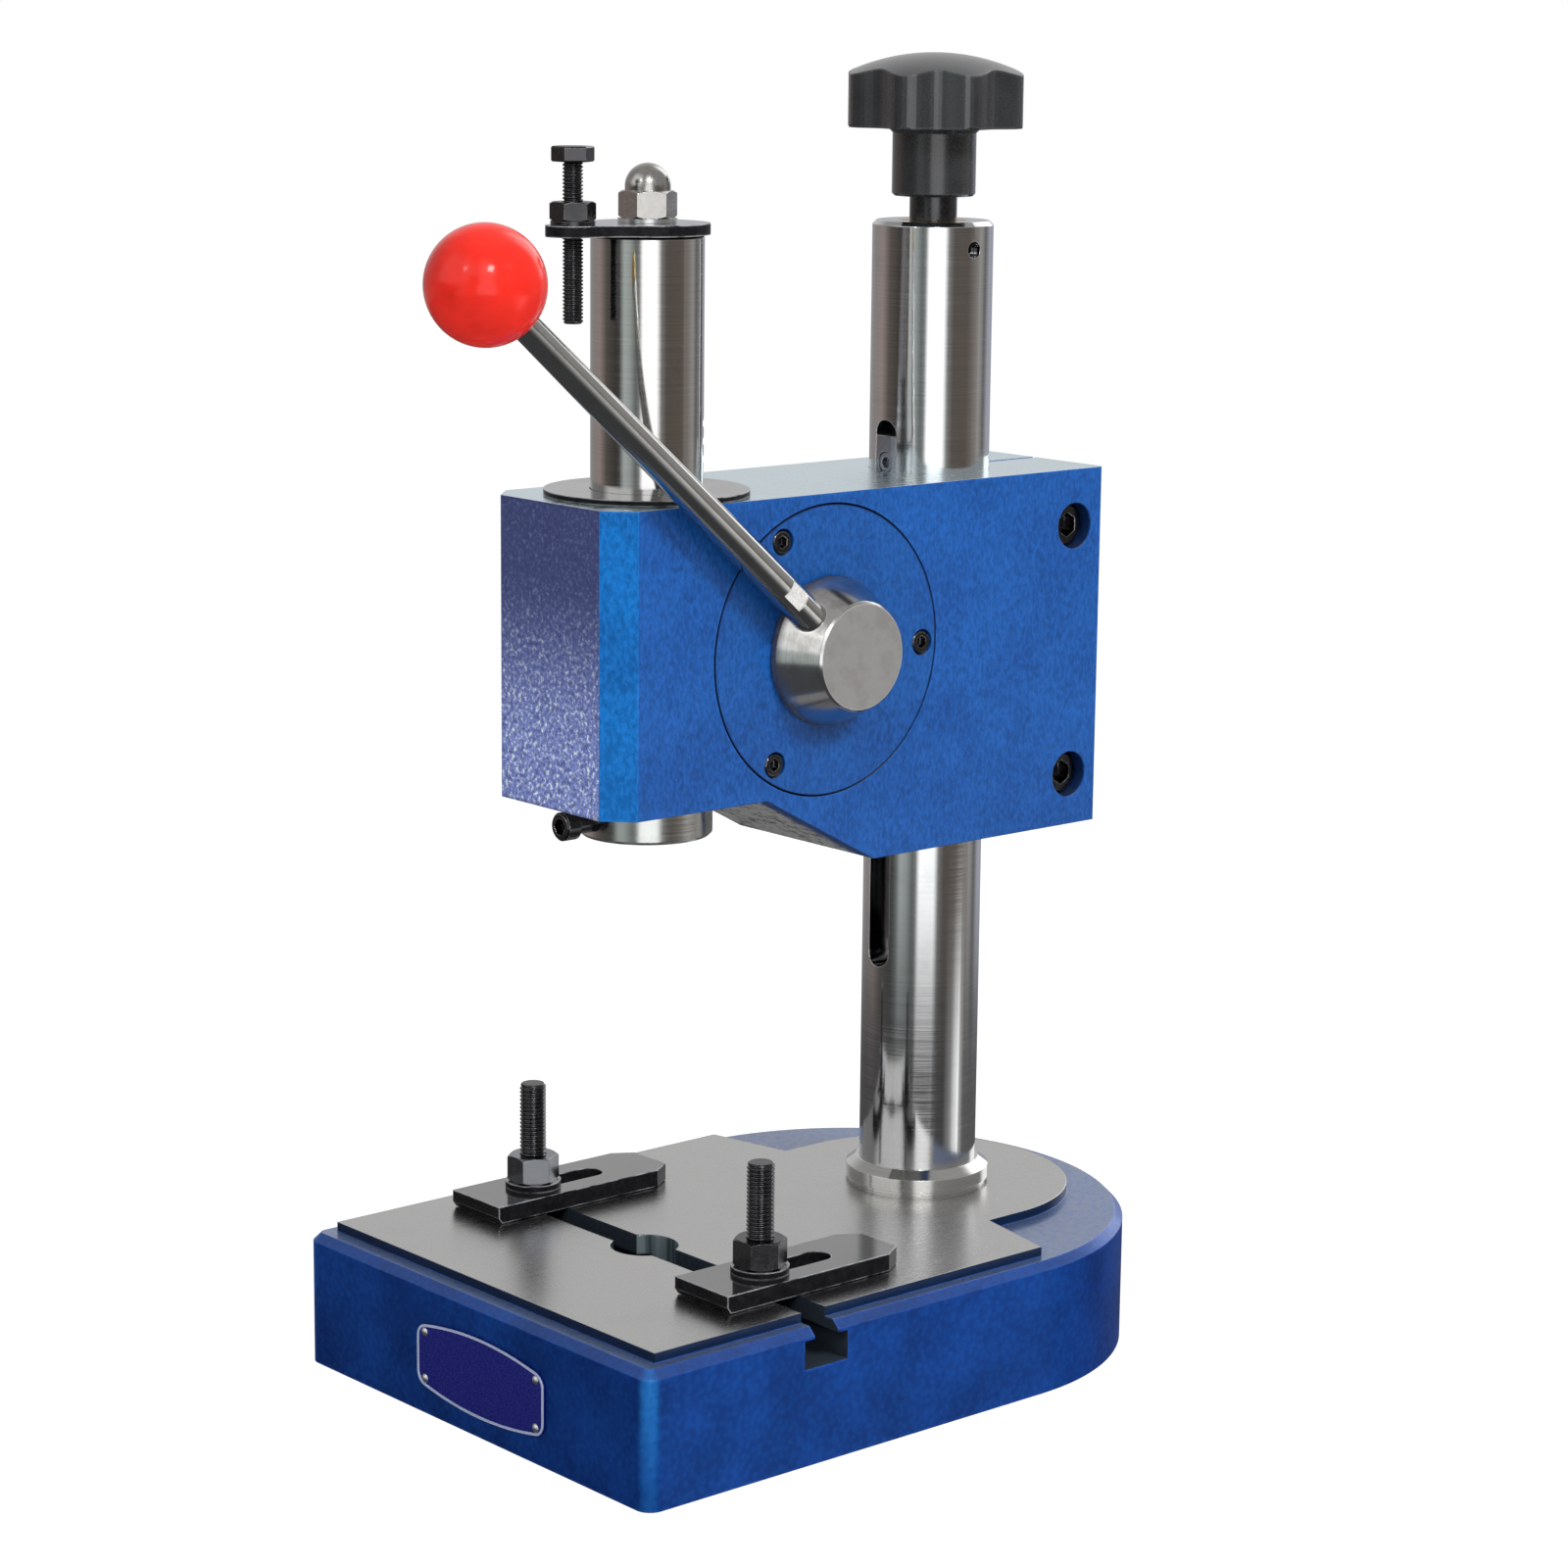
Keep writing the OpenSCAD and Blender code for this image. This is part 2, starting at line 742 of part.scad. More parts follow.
// Outline of the lobed rim, a smooth wave round the circle
function wave(a) = knob_r - valley * (1 - cos(lobes * a)) / 2;

module star_knob() {
    neck_r = knob_neck_d / 2;
    dome_r = (pow(knob_r, 2) + pow(knob_dome_h, 2)) / (2 * knob_dome_h);
    steps = 16 * lobes;
    // A valley faces the front right corner
    turn = 180 / lobes - knob_angle;
    color("#1c1e22")
        translate([0, throat, 0])
            difference() {
                union() {
                    rotate_extrude()
                        polygon([
                            [0, knob_z],
                            [neck_r - knob_round / 2, knob_z],
                            [neck_r, knob_z + knob_round / 2],
                            [neck_r, rim_z - knob_round],
                            [neck_r + knob_round, rim_z],
                            [neck_r + knob_round, rim_z + knob_round],
                            [0, rim_z + knob_round]
                        ]);
                    intersection() {
                        translate([0, 0, rim_z])
                            linear_extrude(knob_rim_h + knob_dome_h)
                                polygon([for (i = [0:steps - 1])
                                    let (a = 360 * i / steps)
                                    wave(a) * [cos(a + turn), sin(a + turn)]]);
                        translate([0, 0, knob_top - dome_r])
                            sphere(r = dome_r, $fn = 128);
                        // Small bevel round the lower edge
                        translate([0, 0, rim_z])
                            cylinder(r1 = knob_r - knob_round / 2,
                                r2 = knob_r - knob_round / 2 + knob_rim_h + knob_dome_h,
                                h = knob_rim_h + knob_dome_h);
                    }
                }
                bar(insert_d + 2 * fix_gap, knob_z - cut, knob_z + insert_h + end_gap);
                translate([0, 0, knob_z + knob_neck_h / 3])
                    rotate([-90, 0, 0])
                        cylinder(d = knob_grub_d + 2 * fix_gap, h = knob_neck_d);
            }
}

module knob_insert() {
    color("goldenrod")
        translate([0, throat, 0])
            difference() {
                bar(insert_d, knob_z, knob_z + insert_h);
                bar(journal_d + 2 * fix_gap, knob_z - cut, knob_z + insert_h + cut);
                translate([0, 0, knob_z + knob_neck_h / 3])
                    rotate([-90, 0, 0])
                        cylinder(d = knob_grub_d + 2 * fix_gap, h = knob_neck_d);
            }
}

module knob_grub_screw() {
    start = journal_d / 2 + fix_gap;
    l = knob_neck_d / 2 - start - knob_round / 2;
    color("dimgray")
        translate([0, throat + start, knob_z + knob_neck_h / 3])
            rotate([-90, 0, 0])
                difference() {
                    cylinder(d = knob_grub_d, h = l);
                    translate([0, 0, l - knob_grub_d / 2])
                        hexagon(knob_grub_d / 2, l);
                }
}

// Side view of the head, in Y and Z
module head_profile() {
    polygon([
        [-head_front, front_z],
        [slope_start, front_z],
        [slope_end_y, back_z],
        [head_rear_y, back_z],
        [head_rear_y, head_top],
        [-head_front, head_top]
    ]);
}

module head_plan() {
    polygon([
        [front_flat - head_half, -head_front],
        [head_half - front_flat, -head_front],
        [head_half, front_flat - head_front],
        [head_half, head_rear_y - rear_bevel],
        [head_half - rear_bevel, head_rear_y],
        [rear_bevel - head_half, head_rear_y],
        [-head_half, head_rear_y - rear_bevel],
        [-head_half, front_flat - head_front]
    ]);
}

// Where the three screws of a cover lie on its ring
module cover_screw_places(r) {
    for (a = [0, 120, 240])
        translate([0, shaft_y + r * cos(a + cover_screw_angle),
            shaft_z + r * sin(a + cover_screw_angle)])
            children();
}

// Seat depth of the gear cover screws and of the spring cover screws
cover_head_h = cover_screw_d;
cover_head_d = cover_screw_d * cover_head_share;
left_cover_screw_r = left_cover_r - cover_edge_share * cover_head_d;
cover_seat = cover_head_h + end_gap;
left_cover_head_h = left_cover_t / 2;
left_cover_seat = left_cover_head_h + end_gap;

// The bolt that ties the lift key to the head, entered from the gear chamber
lift_head_d = lift_bolt_d * cap_head_share;
lift_seat_y = shaft_y + chamber_r + lift_bolt_d - end_gap;
lift_bolt_z = shaft_z + chamber_r / 2;
lift_bolt_tip = throat - screw_d / 2 - 2 * cut;
key_back_y = throat - column_bore_r;
key_front_y = throat - column_r + end_gap;
key_bottom = lift_bolt_z - lift_bolt_d - cut;
key_top = keyway_top - keyway_w / 2 - end_gap;
key_w = keyway_w - 2 * end_gap;
nut_bottom = key_bottom;
nut_top = head_top;
key_screw_places = [lift_bolt_z + lift_head_d + key_screw_d / 2, key_top - 2 * key_screw_d];

module head_casting() {
    color("royalblue")
        difference() {
            intersection() {
                translate([-head_half, 0, 0])
                    rotate([90, 0, 90])
                        linear_extrude(head_w)
                            head_profile();
                translate([0, 0, back_z - cut])
                    linear_extrude(back_h + 2 * cut)
                        head_plan();
            }
            bar(ram_d + 2 * run_gap, back_z, head_top + cut);
            translate([0, throat, 0])
                bar(column_d + 2 * run_gap, back_z - cut, head_top + cut);
            translate([-slit_w / 2, throat, back_z - cut])
                cube([slit_w, head_back + cut, back_h + 2 * cut]);
            // Clamp screws: recess and clear hole on the right, thread on the left
            for (z = [upper_clamp_z, lower_clamp_z])
                translate([0, clamp_screw_y, z])
                    rotate([0, 90, 0]) {
                        translate([0, 0, head_half - clamp_recess])
                            cylinder(d = clamp_recess_d, h = clamp_recess + cut);
                        translate([0, 0, -head_half + clamp_recess])
                            cylinder(d = clamp_d + 2 * run_gap, h = head_w);
                    }
            // Gear chamber, seat of its cover, and the web that carries the left bush
            shaft_bar(2 * chamber_r, -chamber_x, right_wall_x + cut);
            shaft_bar(2 * cover_recess_r, right_wall_x, head_half + cut);
            shaft_bar(left_journal_d + 2 * bush_wall + 2 * fix_gap, -head_half, 0);
            shaft_bar(2 * spring_chamber_r, -head_half - cut, -spring_wall_x);
            shaft_bar(2 * (left_cover_r + fix_gap), -head_half - cut, -left_cover_x);
            cover_screw_places(cover_screw_r)
                translate([right_wall_x - cover_screw_reach - cut, 0, 0])
                    rotate([0, 90, 0])
                        cylinder(d = cover_screw_d + 2 * fix_gap, h = cover_t);
            cover_screw_places(left_cover_screw_r)
                translate([cover_screw_reach + cut - left_cover_x, 0, 0])
                    rotate([0, -90, 0])
                        cylinder(d = cover_screw_d + 2 * fix_gap, h = cover_screw_reach + 2 * cut);
            translate([-spring_wall_x - cut, shaft_y, shaft_z + spring_chamber_r - post_d])
                rotate([0, 90, 0])
                    cylinder(d = post_d + 2 * fix_gap, h = post_d + 2 * cut);
            // Hole for the bolt that ties the lift key
            translate([0, shaft_y, lift_bolt_z])
                rotate([-90, 0, 0]) {
                    cylinder(d = lift_bolt_d + 2 * fix_gap, h = throat - shaft_y);
                    cylinder(d = lift_head_d + 2 * end_gap, h = lift_seat_y - shaft_y);
                }
        }
}

module gear_cover() {
    color("royalblue")
        difference() {
            union() {
                shaft_bar(2 * cover_r, right_wall_x, head_half);
                shaft_bar(cover_boss_d, cover_boss_x, right_wall_x + cut);
            }
            shaft_bar(shaft_d + 2 * bush_wall + 2 * fix_gap, cover_boss_x - cut, head_half + cut);
            cover_screw_places(cover_screw_r)
                rotate([0, 90, 0]) {
                    cylinder(d = cover_screw_d + 2 * run_gap, h = head_w);
                    translate([0, 0, head_half - cover_seat])
                        cylinder(d = cover_head_d + 4 * end_gap, h = head_w);
                }
        }
}

module gear_cover_screws() {
    color("#202226")
        cover_screw_places(cover_screw_r)
            translate([head_half - cover_seat, 0, 0])
                rotate([0, 90, 0])
                    cap_screw(cover_screw_d, cover_head_d, cover_head_h,
                        cover_t - cover_seat + cover_screw_reach);
}

module spring_cover() {
    color("royalblue")
        difference() {
            shaft_bar(2 * left_cover_r, -head_half, -left_cover_x);
            cover_screw_places(left_cover_screw_r)
                rotate([0, -90, 0]) {
                    cylinder(d = cover_screw_d + 2 * run_gap, h = head_w);
                    translate([0, 0, head_half - left_cover_seat])
                        cylinder(d = cover_head_d + 2 * end_gap, h = head_w);
                }
        }
}

module spring_cover_screws() {
    color("#202226")
        cover_screw_places(left_cover_screw_r)
            translate([left_cover_seat - head_half, 0, 0])
                rotate([0, -90, 0])
                    cap_screw(cover_screw_d, cover_head_d, left_cover_head_h,
                        left_cover_t - left_cover_seat + cover_screw_reach);
}

module right_bush() {
    color("darkgoldenrod")
        difference() {
            shaft_bar(shaft_d + 2 * bush_wall, cover_boss_x, head_half);
            shaft_bar(shaft_d + 2 * run_gap, cover_boss_x - cut, head_half + cut);
        }
}

module left_bush() {
    color("darkgoldenrod")
        difference() {
            shaft_bar(left_journal_d + 2 * bush_wall, -spring_wall_x, -chamber_x);
            shaft_bar(left_journal_d + 2 * run_gap, -spring_wall_x - cut, cut - chamber_x);
        }
}

module spring_post() {
    color("dimgray")
        translate([-left_cover_x + end_gap, shaft_y, shaft_z + spring_chamber_r - post_d])
            rotate([0, 90, 0])
                cylinder(d = post_d, h = spring_room + post_d - end_gap);
}

module drive_shaft() {
    thread_r = lever_thread_d / 2 + fix_gap;
    color("silver")
        difference() {
            union() {
                shaft_bar(arbor_d, -arbor_end_x, -spring_wall_x);
                shaft_bar(left_journal_d, -spring_wall_x, -chamber_x + end_gap);
                shaft_bar(shaft_d, -gear_x, hub_x + cut);
                // Hub: a rim, a long taper and a bevelled face
                translate([hub_x, shaft_y, shaft_z])
                    rotate([0, 90, 0])
                        rotate_extrude()
                            polygon([
                                [0, 0],
                                [hub_r, 0],
                                [hub_r, hub_rim_h],
                                [hub_face_r, hub_h - hub_bevel],
                                [hub_face_r - hub_bevel, hub_h],
                                [0, hub_h]
                            ]);
            }
            along_lever()
                cylinder(r = thread_r, h = hub_r + cut);
            along_lever()
                translate([0, 0, lever_start])
                    cylinder(r = lever_d / 2 + fix_gap, h = hub_r);
            // Slot that holds the inner end of the spring
            translate([-arbor_end_x - cut, shaft_y - spring_t / 2 - end_gap, shaft_z])
                cube([spring_room, spring_t + 2 * end_gap, arbor_d]);
            // Keyway for the gear
            translate([-gear_x - cut, shaft_y - gear_key_w / 2 - fix_gap,
                shaft_z + shaft_d / 2 - gear_key_h / 2])
                cube([gear_w + cut + fix_gap, gear_key_w + 2 * fix_gap, gear_key_h]);
        }
}

module gear_key() {
    color("dimgray")
        translate([-gear_x, shaft_y - gear_key_w / 2,
            shaft_z + shaft_d / 2 - gear_key_h / 2 + fix_gap])
            cube([gear_w, gear_key_w, gear_key_h - 2 * fix_gap]);
}

// Angle of the involute, in degrees, at a radius
function involute(r) = let (t = sqrt(pow(r / base_circle_r, 2) - 1)) t * 180 / PI - atan(t);

// Half of the angle that a gear tooth spans at a radius
half_tooth = 180 * (tooth_pitch / 2 - tooth_play) / (2 * PI * pitch_r) + involute(pitch_r);
flank_steps = 4;
flank_r = [for (i = [0:flank_steps])
    base_circle_r + (gear_tip_r - base_circle_r) * i / flank_steps];

function polar(r, a) = [r * cos(a), r * sin(a)];

module gear_outline() {
    pitch_a = 360 / gear_teeth;
    // Tooth 0 points forward, at the rack
    polygon([for (k = [0:gear_teeth - 1])
        let (mid = 180 + k * pitch_a)
        each concat(
            [polar(gear_root_r, mid - half_tooth)],
            [for (i = [0:flank_steps]) polar(flank_r[i], mid - half_tooth + involute(flank_r[i]))],
            [for (i = [flank_steps:-1:0]) polar(flank_r[i], mid + half_tooth - involute(flank_r[i]))],
            [polar(gear_root_r, mid + half_tooth)]
        )]);
}

module drive_gear() {
    hole_ring_r = (gear_boss_d / 2 + gear_root_r) / 2;
    color("slategray")
        difference() {
            union() {
                translate([-gear_x, shaft_y, shaft_z])
                    rotate([90, 0, 90])
                        linear_extrude(gear_w)
                            gear_outline();
                shaft_bar(gear_boss_d, 0, cover_boss_x - end_gap);
            }
            shaft_bar(shaft_d + 2 * fix_gap, -head_half, head_half);
            for (a = [0:60:300])
                translate([-gear_w, shaft_y + hole_ring_r * cos(a), shaft_z + hole_ring_r * sin(a)])
                    rotate([0, 90, 0])
                        cylinder(d = gear_hole_d, h = 2 * gear_w);
            translate([-gear_x - cut, shaft_y - gear_key_w / 2 - fix_gap, shaft_z])
                cube([gear_w + cut + fix_gap, gear_key_w + 2 * fix_gap,
                    shaft_d / 2 + gear_key_h / 2]);
        }
}

// Flat spiral spring: both edges of the strip follow the same spiral
module return_spring() {
    inner_r = arbor_d / 2 + spring_t;
    outer_r = spring_chamber_r - 1.5 * post_d - spring_t / 2 - end_gap;
    steps = 24 * spring_turns;
    turn = 360 * spring_turns;
    tab = spring_t;
    color("#4a5568")
        translate([-left_cover_x + (spring_room - spring_w) / 2, shaft_y, shaft_z])
            rotate([90, 0, 90])
                linear_extrude(spring_w) {
                    polygon(concat(
                        [for (i = [0:steps])
                            polar(inner_r + (outer_r - inner_r) * i / steps + spring_t / 2,
                                90 + turn * i / steps)],
                        [for (i = [steps:-1:0])
                            polar(inner_r + (outer_r - inner_r) * i / steps - spring_t / 2,
                                90 + turn * i / steps)]
                    ));
                    // Tab in the slot of the shaft
                    translate([-tab / 2, arbor_d / 4])
                        square([tab, inner_r - arbor_d / 4]);
                }
}

// Moves what follows to the shaft axis, with +Z out along the lever
module along_lever() {
    translate([hub_x - end_gap + lever_x, shaft_y, shaft_z])
        rotate([90 - lever_angle, 0, 0])
            children();
}

// Distance from the shaft axis to the hub surface and to the ball, along the lever
hub_taper = (hub_r - hub_face_r) / (hub_h - hub_bevel - hub_rim_h);
hub_surface = hub_r - hub_taper * (lever_x - end_gap - hub_rim_h);
lever_in = hub_surface - lever_entry;
lever_start = hub_surface - lever_seat;
flats_start = hub_surface + neck_l;
flats_end = flats_start + flats_l;
ball_face = lever_l - sqrt(pow(ball_d / 2, 2) - pow(ball_flat_d / 2, 2));
lever_out = ball_face + lever_entry;

module lever_rod() {
    color("silver")
        along_lever() {
            // Thread at both ends, as one core through the whole lever
            bar(lever_thread_d, lever_in + end_gap, lever_out);
            bar(lever_d, lever_start + end_gap, flats_start);
            intersection() {
                bar(lever_d, flats_start, flats_end);
                translate([-flats_w / 2, -lever_d, flats_start])
                    cube([flats_w, 2 * lever_d, flats_l]);
            }
            translate([0, 0, flats_end])
                cylinder(d1 = lever_d, d2 = lever_tip_d, h = ball_face - end_gap - flats_end);
        }
}

module ball_knob() {
    color("red")
        along_lever()
            difference() {
                translate([0, 0, lever_l])
                    sphere(d = ball_d);
                bar(ball_d, ball_face - ball_d, ball_face);
                bar(insert_bore_d, ball_face - cut, lever_out + end_gap);
            }
}

// Brass insert in the ball
ball_insert_d = lever_thread_d + 2 * insert_wall;
insert_bore_d = ball_insert_d + 2 * fix_gap;

module ball_insert() {
    color("goldenrod")
        along_lever()
            difference() {
                bar(ball_insert_d, ball_face, lever_out);
                bar(lever_thread_d + 2 * fix_gap, ball_face - cut, lever_out + cut);
            }
}

module ram() {
    space_w = tooth_pitch / 2 + tooth_play;
    slope = tan(pressure_angle);
    // The gap between two rack teeth, seen from the side
    gap = [
        [rack_tip_y + cut, space_w / 2 + (tooth_module + cut) * slope],
        [rack_root_y, space_w / 2 - root_share * tooth_module * slope],
        [rack_root_y, root_share * tooth_module * slope - space_w / 2],
        [rack_tip_y + cut, -space_w / 2 - (tooth_module + cut) * slope]
    ];
    color("lightsteelblue")
        difference() {
            union() {
                translate([0, 0, ram_bottom])
                    cylinder(r1 = ram_r - ram_bevel, r2 = ram_r, h = ram_bevel);
                bar(ram_d, ram_bottom + ram_bevel, ram_top - ram_bevel);
                translate([0, 0, ram_top - ram_bevel])
                    cylinder(r1 = ram_r, r2 = ram_r - ram_bevel, h = ram_bevel);
            }
            // Flat and teeth of the rack
            translate([-ram_r, rack_tip_y, shaft_z - flat_reach])
                cube([ram_d, ram_r, stroke + 2 * flat_reach]);
            for (i = [-lower_teeth:upper_teeth])
                translate([-ram_r, 0, shaft_z + i * tooth_pitch])
                    rotate([90, 0, 90])
                        linear_extrude(ram_d)
                            polygon(gap);
            bar(tool_d, ram_bottom - cut, ram_bottom + tool_depth);
            bar(stud_d + 2 * fix_gap, ram_top - stud_reach - cut, ram_top + cut);
            translate([0, 0, tool_screw_z])
                rotate([90, 0, 0])
                    cylinder(d = tool_screw_d + 2 * run_gap, h = ram_d);
        }
}

module nose_collar() {
    color("gainsboro")
        difference() {
            union() {
                translate([0, 0, ram_bottom])
                    cylinder(r1 = nose_d / 2 - ram_bevel, r2 = nose_d / 2, h = ram_bevel);
                bar(nose_d, ram_bottom + ram_bevel, nose_top);
            }
            bar(ram_d + 2 * fix_gap, ram_bottom - cut, nose_top + cut);
            translate([0, 0, tool_screw_z])
                rotate([90, 0, 0])
                    cylinder(d = tool_screw_d + 2 * run_gap, h = ram_d);
        }
}

module tool_screw() {
    color("#202226")
        translate([0, -tool_screw_seat, tool_screw_z])
            rotate([90, 0, 0])
                cap_screw(tool_screw_d, tool_screw_head_d, tool_screw_head_h,
                    tool_screw_seat - tool_d / 2 - end_gap);
}

module wiper_ring() {
    color("#202226")
        difference() {
            bar(ring_d, head_top, head_top + ring_t);
            bar(ram_d + 2 * end_gap, head_top - cut, head_top + ring_t + cut);
        }
}

module ram_stud() {
    color("dimgray")
        bar(stud_d, ram_top - stud_reach, plate_top + top_washer_t + cap_h - stud_d / 2);
}

// Two round ends joined by hollow sides
module stop_plate_body() {
    big = plate_r + plate_waist_r;
    small = plate_tip_r + plate_waist_r;
    along = (pow(big, 2) - pow(small, 2) + pow(stop_y, 2)) / (2 * stop_y);
    across = sqrt(pow(big, 2) - pow(along, 2));
    bar(2 * plate_r, 0, plate_t);
    translate([0, -stop_y, 0])
        bar(2 * plate_tip_r, 0, plate_t);
    // The hollow sides cross the round ends a little, so that they are joined
    difference() {
        linear_extrude(plate_t)
            polygon([[0, 0], [across, -along], [0, -stop_y], [-across, -along]]);
        for (side = [-1, 1])
            translate([side * across, -along, 0])
                bar(2 * (plate_waist_r + run_gap), -cut, plate_t + cut);
    }
}

module stop_plate() {
    color("#202226")
        translate([0, 0, ram_top])
            difference() {
                stop_plate_body();
                bar(stud_d + 2 * fix_gap, -cut, plate_t + cut);
                translate([0, -stop_y, 0])
                    bar(stop_d + 2 * run_gap, -cut, plate_t + cut);
            }
}

module cap_washer() {
    color("gainsboro")
        translate([0, 0, plate_top])
            difference() {
                bar(cap_af + 2 * top_washer_t, 0, top_washer_t);
                bar(stud_d + 2 * fix_gap, -cut, top_washer_t + cut);
            }
}

module cap_nut() {
    dome_r = cap_af / 2 - cut;
    color("silver")
        translate([0, 0, plate_top + top_washer_t])
            difference() {
                union() {
                    bevelled_hex(cap_af, cap_hex_h);
                    bar(2 * dome_r, cap_hex_h - cut, cap_h - dome_r);
                    translate([0, 0, cap_h - dome_r])
                        sphere(r = dome_r);
                }
                bar(stud_d + 2 * fix_gap, -cut, cap_h - stud_d / 2 + fix_gap);
            }
}

module stop_screw() {
    bevel = stop_d * tip_bevel_share;
    color("#202226")
        translate([0, -stop_y, 0]) {
            translate([0, 0, stop_tip])
                cylinder(d1 = stop_d - 2 * bevel, d2 = stop_d, h = bevel);
            bar(stop_d, stop_tip + bevel, stop_head_z);
            translate([0, 0, stop_head_z])
                bevelled_hex(stop_af, stop_head_h, false);
        }
}

module lock_washer() {
    color("#202226")
        translate([0, -stop_y, plate_top])
            difference() {
                bar(lock_af + top_washer_t, 0, top_washer_t);
                bar(stop_d + 2 * run_gap, -cut, top_washer_t + cut);
            }
}

module lock_nut() {
    color("#202226")
        translate([0, -stop_y, plate_top + top_washer_t])
            difference() {
                bevelled_hex(lock_af, lock_h);
                bar(stop_d + 2 * run_gap, -cut, lock_h + cut);
            }
}

module clamp_screw(z) {
    color("#202226")
        translate([head_half - clamp_recess, clamp_screw_y, z])
            rotate([0, 90, 0])
                cap_screw(clamp_d, clamp_d * cap_head_share, clamp_d, head_w - 2 * clamp_recess - cut);
}

module upper_clamp_screw() {
    clamp_screw(upper_clamp_z);
}

module lower_clamp_screw() {
    clamp_screw(lower_clamp_z);
}

// Nut on the lead screw, inside the column
module lift_nut() {
    color("darkgoldenrod")
        difference() {
            translate([0, throat, 0])
                bar(column_bore_d - 2 * run_gap, nut_bottom, nut_top);
            translate([0, throat, 0])
                bar(screw_d + 2 * run_gap, nut_bottom - cut, nut_top + cut);
            // Flat that the key is screwed to
            translate([-column_bore_r, key_back_y - cut, nut_bottom - cut])
                cube([column_bore_d, seat_depth + cut, nut_top - nut_bottom + 2 * cut]);
            lift_bolt_hole();
            key_screw_holes();
        }
}

// Depth of the flat on the nut
seat_depth = (column_bore_r - screw_d / 2) / 3;

module lift_bolt_hole() {
    translate([0, shaft_y, lift_bolt_z])
        rotate([-90, 0, 0])
            cylinder(d = lift_bolt_d + 2 * fix_gap, h = lift_bolt_tip + cut - shaft_y);
}

module key_screw_holes() {
    for (z = key_screw_places)
        translate([0, key_front_y + key_screw_d, z])
            rotate([-90, 0, 0])
                cylinder(d = key_screw_d + 2 * fix_gap, h = lift_bolt_tip - key_front_y);
}

module lift_key() {
    color("slategray")
        difference() {
            // Its front is round, like the column
            intersection() {
                translate([-key_w / 2, key_front_y, key_bottom])
                    cube([key_w, key_back_y + seat_depth - fix_gap - key_front_y,
                        key_top - key_bottom]);
                translate([0, throat, 0])
                    bar(column_d - 4 * run_gap, key_bottom - cut, key_top + cut);
            }
            lift_bolt_hole();
            key_screw_holes();
            for (z = key_screw_places)
                translate([0, key_front_y - cut, z])
                    rotate([-90, 0, 0])
                        cylinder(d = key_screw_d * cap_head_share + 2 * fix_gap,
                            h = key_screw_d + cut);
        }
}

module lift_key_screws() {
    color("dimgray")
        for (z = key_screw_places)
            translate([0, key_front_y + key_screw_d, z])
                rotate([90, 0, 0])
                    cap_screw(key_screw_d, key_screw_d * cap_head_share,
                        key_screw_d - end_gap, lift_bolt_tip - key_front_y - key_screw_d - cut);
}

module lift_bolt() {
    color("dimgray")
        translate([0, lift_seat_y, lift_bolt_z])
            rotate([90, 0, 0])
                cap_screw(lift_bolt_d, lift_head_d, lift_bolt_d, lift_bolt_tip - lift_seat_y);
}

module nameplate() {
    color("midnightblue")
        translate([name_x, -base_front, name_z])
            rotate([90, 0, 0])
                linear_extrude(name_t)
                    name_outline();
}

// Radius of its bowed edges, and the centre and angle of its corner arcs
name_arc_r = (pow(name_w / 2, 2) + pow(name_bulge, 2)) / (2 * name_bulge);
name_corner_x = name_w / 2 - name_r;
name_corner_z = sqrt(pow(name_arc_r - name_r, 2) - pow(name_corner_x, 2))
    - name_arc_r + name_h / 2;
name_corner_a = atan2(name_corner_z + name_arc_r - name_h / 2, name_corner_x);
corner_steps = 8;
bow_steps = 24;

module name_outline() {
    upper = concat(
        [for (i = [0:corner_steps])
            [name_corner_x, name_corner_z] + polar(name_r, name_corner_a * i / corner_steps)],
        [for (i = [1:bow_steps - 1])
            [0, name_h / 2 - name_arc_r]
                + polar(name_arc_r, name_corner_a + (180 - 2 * name_corner_a) * i / bow_steps)],
        [for (i = [corner_steps:-1:0])
            [-name_corner_x, name_corner_z]
                + polar(name_r, 180 - name_corner_a * i / corner_steps)]
    );
    polygon(concat(upper, -upper));
}

module name_corners(x_in, z_in) {
    for (x = [-1, 1], y = [-1, 1])
        translate([x * (name_w / 2 - x_in), y * (name_h / 2 - z_in)])
            children();
}

module nameplate_rivets() {
    head_h = rivet_d / 4;
    dome_r = (pow(rivet_d / 2, 2) + pow(head_h, 2)) / (2 * head_h);
    color("silver")
        translate([name_x, -base_front - name_t, name_z])
            rotate([90, 0, 0])
                name_corners(rivet_side_share * rivet_d,
                    name_bulge + rivet_edge_share * rivet_d)
                    intersection() {
                        translate([0, 0, head_h - dome_r])
                            sphere(r = dome_r);
                        cylinder(d = 2 * rivet_d, h = rivet_d);
                    }
}

// The four pieces of a work clamp, all centred on its T bolt
strap_z = table_top + end_gap;
washer_z = strap_z + strap_t;

module t_bolt(x) {
    half = tee_w / 2 - 2 * end_gap;
    bevel = bolt_d * tip_bevel_share;
    color("#202226")
        translate([x, 0, 0]) {
            translate([-half, -half, tee_roof - end_gap - tee_head_h])
                cube([2 * half, 2 * half, tee_head_h]);
            bar(bolt_d, tee_roof - 2 * end_gap, table_top + bolt_above - bevel);
            translate([0, 0, table_top + bolt_above - bevel])
                cylinder(d1 = bolt_d, d2 = bolt_d - 2 * bevel, h = bevel);
        }
}

module clamp_washer(x) {
    color("#202226")
        translate([x, 0, washer_z])
            difference() {
                bar(washer_d, 0, washer_t);
                bar(bolt_d + 2 * run_gap, -cut, washer_t + cut);
            }
}

